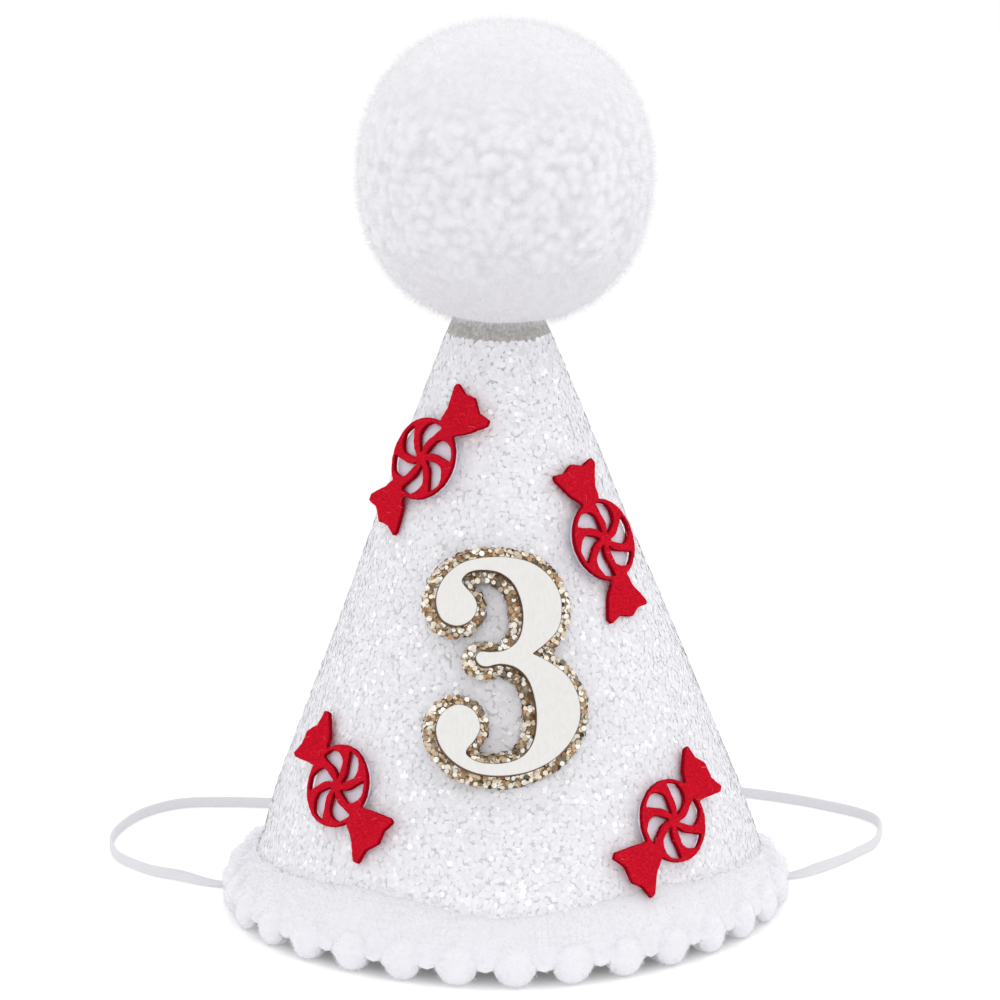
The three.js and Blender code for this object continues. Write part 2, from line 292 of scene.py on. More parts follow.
@dataclass(frozen=True)
class ClothFinish(Finish):
    """Plain woven cloth: the ground under the glitter, and the inside of the cone."""

    name: str = "cone_cloth"
    # The ground is greyer than the flakes so that the gaps between them read dark: partly its own colour,
    # partly painted shade in the gaps.
    light: Colour = (0.68, 0.68, 0.69)
    dark: Colour = (0.54, 0.54, 0.54)
    # Beige just under the pompom: partly soiling, partly painted shade of the pompom.
    soil_and_shade: Colour = (0.46, 0.43, 0.39)
    soil_and_shade_range: tuple[float, float] = (99.0, 102.5)
    threads_around: int = 420
    thread: float = 0.45
    relief: float = 0.08

    def surface(self, graph: Graph) -> dict[str, object]:
        """Weaves threads across each other, with darker patches, and darkens the cloth to beige just under
        the pompom: partly glue soiling, partly painted shade of the pompom.
        """
        parts = graph.node("ShaderNodeSeparateXYZ", None, {"Vector": graph.place()}, "X")
        angle = graph.node(
            "ShaderNodeMath", {"operation": "ARCTAN2"}, {0: parts, 1: parts.other("Y")}
        )
        around = (angle * self.threads_around).wave()
        upward = (parts.other("Z") * (FULL_TURN / (self.thread * MM))).wave()
        weave = around * upward * 0.5 + 0.5
        patch = graph.spread(graph.cloud(3.0), 0.35, 0.65)
        colour = graph.blend(patch * 0.5 + weave * 0.4, self.dark, self.light)
        # Darker beige just under the pompom: partly glue soiling, partly painted shade of the pompom.
        low, top = self.soil_and_shade_range
        high = graph.spread(parts.other("Z"), low * MM, top * MM)
        colour = graph.blend(high * graph.spread(graph.cloud(0.6), 0.35, 0.6), colour, self.soil_and_shade)
        return {
            "Base Color": colour,
            "Roughness": 0.9,
            "Normal": graph.relief(weave, self.relief),
            "Sheen Weight": 0.1,
        }


@dataclass(frozen=True)
class YarnFinish(Finish):
    """Cut white yarn, soft and matt, with its fine fibres."""

    name: str = "pompom_yarn"
    light: Colour = (0.82, 0.815, 0.845)
    dark: Colour = (0.715, 0.71, 0.74)
    fibre: float = 0.25
    relief: float = 0.12
    # Share of the colour set by the "tip" attribute, which is painted light and shade.
    painted_light: float = 0.6

    def surface(self, graph: Graph) -> dict[str, object]:
        """Mottles the yarn, with painted light from the "tip" attribute, and roughens it with fibres."""
        mottle = graph.spread(graph.cloud(self.fibre * 6), 0.35, 0.65)
        # The "tip" attribute is painted light and shade: pale lump tops and top of the ball, darker
        # hollows and underside.
        share = mottle * (1 - self.painted_light) + graph.attribute("tip") * self.painted_light
        fibres = graph.cloud(self.fibre, 4)
        return {
            "Base Color": graph.blend(share, self.dark, self.light),
            "Roughness": 0.95,
            "Normal": graph.relief(fibres, self.relief),
            "Specular IOR Level": 0.1,
            "Sheen Weight": 0.15,
            "Subsurface Weight": 0.8,
            "Subsurface Radius": (1, 0.97, 0.94),
            "Subsurface Scale": 1.0 * MM,
        }


@dataclass(frozen=True)
class TapeFinish(Finish):
    """Fluffy woven tape, with a faint grid of threads."""

    name: str = "fringe_tape"
    light: Colour = (0.80, 0.795, 0.83)
    dark: Colour = (0.725, 0.72, 0.755)
    threads: int = 264
    fibre: float = 0.3

    def surface(self, graph: Graph) -> dict[str, object]:
        """Draws the grid a little darker than the fluff between its threads."""
        parts = graph.node("ShaderNodeSeparateXYZ", None, {"Vector": graph.place()}, "X")
        angle = graph.node(
            "ShaderNodeMath", {"operation": "ARCTAN2"}, {0: parts, 1: parts.other("Y")}
        )
        columns = graph.spread((angle * self.threads).wave(), 0.6, 1.0)
        rows = graph.spread((graph.attribute("down") * FULL_TURN).wave(), 0.6, 1.0)
        grid = graph.node("ShaderNodeMath", {"operation": "MAXIMUM"}, {0: columns, 1: rows})
        worn = graph.spread(graph.cloud(9), 0.42, 0.62)
        mottle = graph.cloud(self.fibre * 5)
        woven = grid * graph.attribute("woven")
        shade = woven * worn * 0.45 + mottle * 0.25
        fluff = graph.cloud(self.fibre, 4)
        wisps = graph.cloud(0.9, 3) - graph.attribute("fade") * 0.75
        return {
            "Base Color": graph.blend(shade, self.light, self.dark),
            "Alpha": graph.spread(wisps, 0.05, 0.2),
            "Roughness": 0.95,
            "Normal": graph.relief(fluff * 0.75 - woven * 0.25, 0.09),
            "Specular IOR Level": 0.1,
            "Sheen Weight": 0.15,
            "Subsurface Weight": 0.4,
            "Subsurface Radius": (1, 0.97, 0.94),
            "Subsurface Scale": 1.2 * MM,
        }


@dataclass(frozen=True)
class FeltFinish(Finish):
    """Pressed felt: a matt nap of short fibres, darker where it is cut."""

    name: str = "pressed_red_felt"
    light: Colour = (0.80, 0.013, 0.034)
    dark: Colour = (0.56, 0.006, 0.020)
    cut: Colour = (0.36, 0.003, 0.014)
    relief: float = 0.14
    sheen: float = 0.0

    def surface(self, graph: Graph) -> dict[str, object]:
        """Lays the nap in small tangled clumps and darkens the cut edge."""
        clumps = graph.cloud(0.5, 4, (1, 1, 2.2))
        fibres = graph.cloud(0.16, 3, (2.2, 1, 1))
        nap = graph.spread(clumps * 0.55 + fibres * 0.45, 0.36, 0.62)
        face = graph.blend(nap, self.dark, self.light)
        return {
            "Base Color": graph.blend(graph.attribute("cut"), face, self.cut),
            "Roughness": 0.95,
            "Normal": graph.relief(nap, self.relief),
            "Specular IOR Level": 0.0,
            "Sheen Weight": self.sheen,
        }


@dataclass(frozen=True)
class FibreFinish(Finish):
    """Loose fibres, a little lighter or darker from one to the next."""

    name: str = "fringe_fibres"
    dark: Colour = (0.76, 0.755, 0.785)
    light: Colour = (0.85, 0.845, 0.875)

    def surface(self, graph: Graph) -> dict[str, object]:
        """Colours each fibre by its shade."""
        return {
            "Base Color": graph.blend(graph.attribute("shade"), self.dark, self.light),
            "Roughness": 0.9,
            "Specular IOR Level": 0.0,
        }


@dataclass(frozen=True)
class PaintFinish(Finish):
    """Thin off-white paint on laser-cut wood, scorched at the cut."""

    name: str = "thin_paint"
    light: Colour = (0.72, 0.712, 0.695)
    dark: Colour = (0.665, 0.652, 0.63)
    char: Colour = (0.045, 0.022, 0.010)
    toast: Colour = (0.20, 0.10, 0.04)

    def surface(self, graph: Graph) -> dict[str, object]:
        """Lets the grain show through the paint, and scorches the edge by its attribute."""
        grain = graph.cloud(0.5, 4, (1, 1, 0.12))
        flecks = graph.cloud(0.22, 2)
        face = graph.blend(graph.spread(grain, 0.35, 0.7) * 0.6, self.light, self.dark)
        soot = graph.blend(graph.spread(graph.cloud(0.6), 0.35, 0.65), self.char, self.toast)
        burnt = graph.spread(graph.attribute("char"), 0.25, 0.85)
        return {
            "Base Color": graph.blend(burnt, face, soot),
            "Roughness": graph.spread(flecks, 0.3, 0.7, 0.5, 0.68),
            "Normal": graph.relief(grain * 0.6 + flecks * 0.4, 0.05),
            "Specular IOR Level": 0.35,
        }


@dataclass(frozen=True)
class GlueFinish(Finish):
    """The ground under the gold flakes: tan card with blobs of clear glue."""

    name: str = "flake_ground"
    light: Colour = (0.52, 0.36, 0.17)
    dark: Colour = (0.15, 0.085, 0.035)

    def surface(self, graph: Graph) -> dict[str, object]:
        """Mottles the ground from dark brown to tan."""
        mottle = graph.cloud(0.6, 3)
        return {
            "Base Color": graph.blend(graph.spread(mottle, 0.35, 0.65), self.dark, self.light),
            "Roughness": 0.35,
            "Normal": graph.relief(mottle, 0.2),
        }


@dataclass(frozen=True)
class ElasticFinish(Finish):
    """Flat white elastic: long cords of rubber under a fine weft."""

    name: str = "white_elastic"
    light: Colour = (0.70, 0.69, 0.72)
    dark: Colour = (0.62, 0.61, 0.64)
    weft: float = 0.5
    warp: float = 0.5

    def surface(self, graph: Graph) -> dict[str, object]:
        """Crosses the cords with the weft, alternating from cord to cord."""
        along = (graph.attribute("along") * (FULL_TURN / self.weft)).wave()
        across = (graph.attribute("across") * (FULL_TURN / self.warp)).wave()
        weave = along * across * 0.5 + 0.5
        return {
            "Base Color": graph.blend(graph.spread(weave, 0.1, 0.7), self.dark, self.light),
            "Roughness": 0.75,
            "Normal": graph.relief(weave, 0.03),
            "Sheen Weight": 0.15,
        }


@dataclass(frozen=True)
class FloorFinish(Finish):
    """White studio floor that glows: its emission is painted light, strongest in a ring round the hat."""

    name: str = "studio_floor"
    colour: Colour = (0.76, 0.76, 0.765)
    paler: Colour = (0.78, 0.78, 0.785)
    glow: float = 0.3
    far_share: float = 0.4
    ring_starts: tuple[float, float] = (44.0, 52.0)
    ring_ends: tuple[float, float] = (65.0, 160.0)

    def surface(self, graph: Graph) -> dict[str, object]:
        """Keeps the floor matt, and makes it glow, most in a ring round the hat: painted light that fills
        in the hat's contact shadow and lights the fringe from below.
        """
        length = {"operation": "LENGTH"}
        reach = graph.node("ShaderNodeVectorMath", length, {"Vector": graph.place()}, "Value")
        near = graph.spread(reach, *(edge * MM for edge in self.ring_starts))
        ring = near * (1 - graph.spread(reach, *(edge * MM for edge in self.ring_ends)))
        far = (self.far_share, self.far_share, self.far_share)
        return {
            "Base Color": graph.blend(graph.cloud(400), self.colour, self.paler),
            "Roughness": 0.9,
            "Specular IOR Level": 0.1,
            # Painted light: the floor glows, most in a ring round the hat.
            "Emission Color": graph.blend(ring, far, (1, 1, 1)),
            "Emission Strength": self.glow,
        }


def smooth_step(value: np.ndarray | float, low: float, high: float) -> np.ndarray:
    """Rises from 0 at low to 1 at high, with soft ends."""
    share = np.clip((np.asarray(value, float) - low) / (high - low), 0, 1)
    return share * share * (3 - 2 * share)


def hill(value: np.ndarray, middle: float, width: float, height: float) -> np.ndarray:
    """Gives a smooth hill that is highest where the value is at its middle."""
    return height * np.exp(-(((value - middle) / width) ** 2))


def unit(vectors: np.ndarray) -> np.ndarray:
    """Makes each vector one long."""
    return vectors / np.linalg.norm(vectors, axis=-1, keepdims=True)


def ripple(points: np.ndarray, size: float, seed: float = 0) -> np.ndarray:
    """Gives smooth noise from -1 to 1 at each point.

    Args:
        points: Rows of three numbers.
        size: Rough size of the ripples, in the points' unit.
        seed: Shifts the noise to another place.

    Returns:
        One number for each point.
    """
    shifted = np.asarray(points).reshape(-1, 3) / size + seed * SEED_SHIFT
    return np.array([noise.noise(Vector(point)) for point in shifted]).reshape(points.shape[:-1])


def band(rows: int, around: int, ring: bool = False) -> list[Face]:
    """Joins rows of points that each close on themselves.

    Args:
        rows: How many rows there are.
        around: How many points a row has.
        ring: Whether the last row joins the first.

    Returns:
        Four-sided faces. They look outwards where the rows go up and each runs anticlockwise.
    """
    faces = []
    for row in range(rows if ring else rows - 1):
        here = row * around
        above = (row + 1) % rows * around
        for step in range(around):
            after = (step + 1) % around
            faces.append((here + step, here + after, above + after, above + step))
    return faces


def add_mesh(
    name: str,
    points: np.ndarray,
    faces: Sequence[Face],
    smooth: bool = True,
    closed: bool = True,
    values: dict[str, np.ndarray] | None = None,
) -> bpy.types.Object:
    """Makes an object at the origin.

    Args:
        name: Name of the object and its mesh.
        points: Its points in millimetres.
        faces: Its faces.
        smooth: Whether it is shaded smooth.
        closed: Whether the mesh is a closed body, whose faces are then turned outwards.
        values: Attributes of the points, one number for each.

    Returns:
        The object, linked to the scene.
    """
    mesh = bpy.data.meshes.new(name)
    mesh.from_pydata((np.asarray(points).reshape(-1, 3) * MM).tolist(), [], faces, shade_flat=not smooth)
    for label, numbers in (values or {}).items():
        mesh.attributes.new(label, "FLOAT", "POINT").data.foreach_set(
            "value", np.asarray(numbers, np.float32).ravel()
        )
    if closed:
        turn_outwards(mesh)
    mesh.validate()
    made = bpy.data.objects.new(name, mesh)
    bpy.context.scene.collection.objects.link(made)
    return made


def turn_outwards(mesh: bpy.types.Mesh) -> None:
    """Turns the faces of a closed mesh outwards, and splits those with many corners."""
    work = bmesh.new()
    work.from_mesh(mesh)
    large = [face for face in work.faces if len(face.verts) > 4]
    bmesh.ops.triangulate(work, faces=large, ngon_method="EAR_CLIP")
    bmesh.ops.recalc_face_normals(work, faces=work.faces)
    work.to_mesh(mesh)
    work.free()


def settle(made: bpy.types.Object) -> None:
    """Puts the result of an object's modifiers into its mesh and takes them off."""
    depsgraph = bpy.context.evaluated_depsgraph_get()
    result = bpy.data.meshes.new_from_object(made.evaluated_get(depsgraph), depsgraph=depsgraph)
    made.modifiers.clear()
    before = made.data
    made.data = result
    bpy.data.meshes.remove(before)
    result.name = made.name


def points_of(mesh: bpy.types.Mesh) -> np.ndarray:
    """Reads a mesh's points in millimetres."""
    flat = np.empty(len(mesh.vertices) * 3, np.float32)
    mesh.vertices.foreach_get("co", flat)
    return flat.reshape(-1, 3).astype(float) / MM


def set_points(mesh: bpy.types.Mesh, points: np.ndarray) -> None:
    """Writes a mesh's points from millimetres."""
    mesh.vertices.foreach_set("co", (points * MM).astype(np.float32).ravel())
    mesh.update()


def hand_over(
    made: bpy.types.Object, slot: str, *nodes: str, finishes: Sequence[Finish] = ()
) -> bpy.types.Object:
    """Makes a finished object a piece of the hat.

    Args:
        made: The object, with its place in its mesh.
        slot: The record's material slot; not used.
        nodes: The nodes of the frame that it stands for.
        finishes: Its finishes, in the order of its material slots.

    Returns:
        The object.
    """
    for finish in finishes:
        made.data.materials.append(finish.material())
    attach(made, BODY)
    if nodes:
        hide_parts(*nodes)
    triangles = sum(len(face.vertices) - 2 for face in made.data.polygons)
    log.info("%s: %d triangles", made.name, triangles)
    return made


class Spread(Enum):
    """How small shapes are spread over a surface."""

    EVEN = "POISSON"
    LOOSE = "RANDOM"


@dataclass(frozen=True)
class Scatter:
    """Spreads small shapes over a surface, each turned, tilted and sized at random.

    The density is for each square millimetre, the distance and the lift are in millimetres,
    and the tilt is in radians.
    """

    density: float
    seed: int
    spread: Spread = Spread.EVEN
    distance: float = 0.0
    smallest: float = 0.85
    largest: float = 1.15
    tilt: float = 0.2
    lowest: float = 0.0
    highest: float = 0.0

    INPUTS = {
        "Shapes": "NodeSocketCollection",
        "Finish": "NodeSocketMaterial",
        "Density": "NodeSocketFloat",
        "Distance": "NodeSocketFloat",
        "Smallest": "NodeSocketFloat",
        "Largest": "NodeSocketFloat",
        "Tilt": "NodeSocketFloat",
        "Lowest": "NodeSocketFloat",
        "Highest": "NodeSocketFloat",
        "Seed": "NodeSocketInt",
    }
    LAST_PICK = 999

    def _tree(self) -> bpy.types.NodeTree:
        """Gives the geometry tree for this way of spreading, built at the first call."""
        name = f"spread_{self.spread.name.lower()}"
        tree = bpy.data.node_groups.get(name)
        if tree:
            return tree
        tree = bpy.data.node_groups.new(name, "GeometryNodeTree")
        tree.interface.new_socket(name="Surface", in_out="INPUT", socket_type="NodeSocketGeometry")
        for label, kind in self.INPUTS.items():
            tree.interface.new_socket(name=label, in_out="INPUT", socket_type=kind)
        tree.interface.new_socket(name="Result", in_out="OUTPUT", socket_type="NodeSocketGeometry")
        graph = Graph(tree)
        given = graph.node("NodeGroupInput")
        density = given.other("Density")
        seed = given.other("Seed")
        if self.spread is Spread.EVEN:
            amount = {"Distance Min": given.other("Distance"), "Density Max": density}
        else:
            amount = {"Density": density}
        spots = graph.node(
            "GeometryNodeDistributePointsOnFaces",
            {"distribute_method": self.spread.value},
            {"Mesh": given, "Seed": seed, **amount},
            "Points",
        )
        tilt = given.other("Tilt")
        least = graph.node("ShaderNodeCombineXYZ", None, {"X": tilt * -1, "Y": tilt * -1})
        most = graph.node("ShaderNodeCombineXYZ", None, {"X": tilt, "Y": tilt, "Z": FULL_TURN})
        lean = graph.node(
            "FunctionNodeRandomValue",
            {"data_type": "FLOAT_VECTOR"},
            {"Min": least, "Max": most, "Seed": seed + 1},
            "Value",
        )
        turn = graph.node("FunctionNodeEulerToRotation", None, {0: lean})
        turned = graph.node(
            "FunctionNodeRotateRotation",
            {"rotation_space": "LOCAL"},
            {"Rotation": spots.other("Rotation"), "Rotate By": turn},
        )
        size = self._chance(graph, given.other("Smallest"), given.other("Largest"), seed + 2)
        kind = graph.node(
            "FunctionNodeRandomValue",
            {"data_type": "INT"},
            {"Min_002": 0, "Max_002": self.LAST_PICK, "Seed": seed + 3},
            "Value_002",
        )
        shapes = graph.node(
            "GeometryNodeCollectionInfo",
            None,
            {"Collection": given.other("Shapes"), "Separate Children": True, "Reset Children": True},
        )
        copies = graph.node(
            "GeometryNodeInstanceOnPoints",
            None,
            {
                "Points": spots,
                "Instance": shapes,
                "Pick Instance": True,
                "Instance Index": kind,
                "Rotation": turned,
                "Scale": size,
            },
        )
        lift = self._chance(graph, given.other("Lowest"), given.other("Highest"), seed + 4)
        raised = graph.node(
            "GeometryNodeTranslateInstances",
            None,
            {"Instances": copies, "Translation": graph.node("ShaderNodeCombineXYZ", None, {"Z": lift})},
        )
        shaded = graph.node(
            "GeometryNodeStoreNamedAttribute",
            {"data_type": "FLOAT", "domain": "INSTANCE"},
            {"Geometry": raised, "Name": "shade", "Value": self._chance(graph, 0.0, 1.0, seed + 5)},
        )
        plain = graph.node("GeometryNodeRealizeInstances", None, {"Geometry": shaded})
        dressed = graph.node(
            "GeometryNodeSetMaterial", None, {"Geometry": plain, "Material": given.other("Finish")}
        )
        graph.node("NodeGroupOutput", None, {"Result": dressed})
        return tree

    @staticmethod
    def _chance(graph: Graph, low: Wire | float, high: Wire | float, seed: Wire) -> Wire:
        """Gives each copy a random number between low and high."""
        return graph.node(
            "FunctionNodeRandomValue",
            {"data_type": "FLOAT"},
            {"Min_001": low, "Max_001": high, "Seed": seed},
            "Value_001",
        )

    def over(
        self, surface: bpy.types.Object, shapes: Sequence[bpy.types.Object], finish: Finish
    ) -> bpy.types.Object:
        """Turns a surface into the shapes that are spread over it.

        Args:
            surface: The object with the surface, whose mesh is replaced.
            shapes: The shapes, which are removed afterwards.
            finish: The shapes' finish.

        Returns:
            The same object.
        """
        kept = bpy.data.collections.new(f"{surface.name}_shapes")
        bpy.context.scene.collection.children.link(kept)
        for shape in shapes:
            bpy.context.scene.collection.objects.unlink(shape)
            kept.objects.link(shape)
        values = {
            "Shapes": kept,
            "Finish": finish.material(),
            "Density": self.density / MM**2,
            "Distance": self.distance * MM,
            "Smallest": self.smallest,
            "Largest": self.largest,
            "Tilt": self.tilt,
            "Lowest": self.lowest * MM,
            "Highest": self.highest * MM,
            "Seed": self.seed,
        }
        modifier = surface.modifiers.new("spread", "NODES")
        modifier.node_group = self._tree()
        for item in modifier.node_group.interface.items_tree:
            if item.name in values:
                modifier[item.identifier] = values[item.name]
        settle(surface)
        for shape in list(kept.objects):
            bpy.data.meshes.remove(shape.data)
        bpy.data.collections.remove(kept)
        return surface


def flake(name: str, width: float) -> bpy.types.Object:
    """Makes a flat hexagon that measures its width across the corners."""
    angles = np.arange(6) * FULL_TURN / 6
    points = np.stack([np.cos(angles), np.sin(angles), 0 * angles], -1) * width / 2
    return add_mesh(name, points, [tuple(range(6))], smooth=False, closed=False)


@dataclass(frozen=True)
class Fibre:
    """A fine fibre as a narrow ribbon that bends and tapers to a point."""

    length: float
    width: float
    bends: tuple[float, ...] = (-0.5, 0.15, 0.45, 0.8)

    def shapes(self, name: str) -> list[bpy.types.Object]:
        """Makes one ribbon for each bend, standing on the origin."""
        made = []
        for order, bend in enumerate(self.bends):
            half = self.width / 2
            points = np.array([
                (0, -half, 0),
                (0, half, 0),
                (0.35 * bend * self.length, half * 0.8, 0.55 * self.length),
                (0.35 * bend * self.length, -half * 0.8, 0.55 * self.length),
                (bend * self.length, 0, 0.93 * self.length),
            ])
            faces = [(0, 1, 2, 3), (3, 2, 4)]
            made.append(add_mesh(f"{name}_{order}", points, faces, closed=False))
        return made


@dataclass(frozen=True)
class ConeForm:
    """The cone's outer surface, which the pieces on it follow too.

    The axis leans a little, the cloth has shallow waves, and its flap overlaps at the back. Each
    dent of the rim has its turn, its width and how far it stands out.
    """

    foot_radius: float = 49.7
    slope: float = 0.394
    axis_at_foot: float = 0.56
    lean: float = 0.0117
    wave: float = 0.16
    waves_end: float = 110.0
    waves_fade: float = 40.0
    flap: float = 0.9
    flap_turn: float = 0.22
    bow: float = 0.6
    bow_starts: tuple[float, float] = (2.0, 20.0)
    bow_ends: tuple[float, float] = (48.0, 75.0)
    rim_foot: float = 5.0
    rim_height: float = 22.0
    dents: Sequence[tuple[float, float, float]] = (
        (0.0, 0.4, 1.2), (-1.6, 0.45, -1.6), (0.95, 0.5, -1.1),
        (-2.15, 0.35, -1.0), (2.15, 0.35, -1.0),
    )

    @property
    def angle(self) -> float:
        """Angle between the axis and the surface."""
        return math.atan(self.slope)

    @property
    def apex(self) -> float:
        """Height at which the surface would close."""
        return self.foot_radius / self.slope

    def radius(self, z: np.ndarray | float) -> np.ndarray | float:
        """Radius of the surface at a height."""
        return self.foot_radius - self.slope * z

    def axis_x(self, z: np.ndarray | float) -> np.ndarray | float:
        """Place of the axis at a height."""
        return self.axis_at_foot - self.lean * z

    def rim(self, turn: np.ndarray | float) -> np.ndarray:
        """How far the rim stands out past a true circle."""
        around = np.mod(np.asarray(turn) + math.pi, FULL_TURN) - math.pi
        return sum(hill(around, *dent) for dent in self.dents)

    def waves(self, turn: np.ndarray, z: np.ndarray) -> np.ndarray:
        """How far the shallow waves of the cloth stand out."""
        waves = np.sin(2 * turn + z * 0.045) + 0.7 * np.sin(5 * turn - z * 0.09 + 1.3)
        return self.wave * waves * np.clip((self.waves_end - z) / self.waves_fade, 0, 1)

    def sway(self, turn: np.ndarray, z: np.ndarray) -> np.ndarray:
        """How far the cone is out of true: its uneven rim, and the bow of its sides."""
        bowed = smooth_step(z, *self.bow_starts) * (1 - smooth_step(z, *self.bow_ends))
        uneven = self.rim(turn) * (1 - smooth_step(z, self.rim_foot, self.rim_height))
        return uneven + self.bow * bowed * np.sin(turn)

    def swell(self, turn: np.ndarray, z: np.ndarray) -> np.ndarray:
        """How far the cloth stands out past the plain cone."""
        past_seam = np.mod(turn - math.pi, FULL_TURN)
        lap = smooth_step(past_seam, FULL_TURN - self.flap_turn, FULL_TURN)
        return self.waves(turn, z) + self.flap * lap + self.sway(turn, z)

    def at(self, turn: np.ndarray, z: np.ndarray, height: np.ndarray | float = 0.0) -> np.ndarray:
        """Gives points on the cone or above it.

        Args:
            turn: Turns round the hat.
            z: Heights of the spots on the surface.
            height: How far the points stand out from their spots.

        Returns:
            The points, as an array with one more axis.
        """
        height = height + self.swell(turn, z)
        out = self.radius(z) + height * math.cos(self.angle)
        up = z + height * math.sin(self.angle)
        return np.stack([self.axis_x(z) + out * np.sin(turn), -out * np.cos(turn), up + 0 * turn], -1)

    def plane(self, turn: float, z: float) -> tuple[np.ndarray, np.ndarray, np.ndarray, np.ndarray]:
        """Gives the flat plane that touches the cone at one spot.

        Args:
            turn: Turn of the spot.
            z: Height of the spot.

        Returns:
            The spot, and the directions across, up the slope and out from the cone.
        """
        across = np.array([math.cos(turn), math.sin(turn), 0])
        level = np.array([math.sin(turn), -math.cos(turn), 0])
        up = np.array([0, 0, 1.0])
        out = level * math.cos(self.angle) + up * math.sin(self.angle)
        reach = self.radius(z) + float(self.sway(turn, z))
        spot = level * reach + up * z + np.array([self.axis_x(z), 0, 0])
        return spot, across, np.cross(out, across), out

    def lay(
        self, flat: np.ndarray, height: np.ndarray, turn: float, z: float, axis: float, stiffness: float
    ) -> np.ndarray:
        """Bends a flat piece part of the way round the cone.

        Args:
            flat: Its points in its own plane.
            height: How far each point stands out from the cone.
            turn: Turn at which its middle lies.
            z: Height at which its middle lies.
            axis: Angle between its own X axis and the level.
            stiffness: How far it is from wrapped close round the cone, at 0, to flat, at 1.

        Returns:
            The points on the hat.
        """
        slant = (self.apex - z) / math.cos(self.angle)
        across = flat[:, 0] * math.cos(axis) - flat[:, 1] * math.sin(axis)
        upward = flat[:, 0] * math.sin(axis) + flat[:, 1] * math.cos(axis)
        reach = np.hypot(across, slant - upward)
        turns = turn + np.arctan2(across, slant - upward) / math.sin(self.angle)
        wrapped = self.at(turns, self.apex - reach * math.cos(self.angle), height)
        spot, right, slope, out = self.plane(turn, z)
        level = spot + across[:, None] * right + upward[:, None] * slope + height[:, None] * out
        return wrapped + stiffness * (level - wrapped)


CONE = ConeForm()


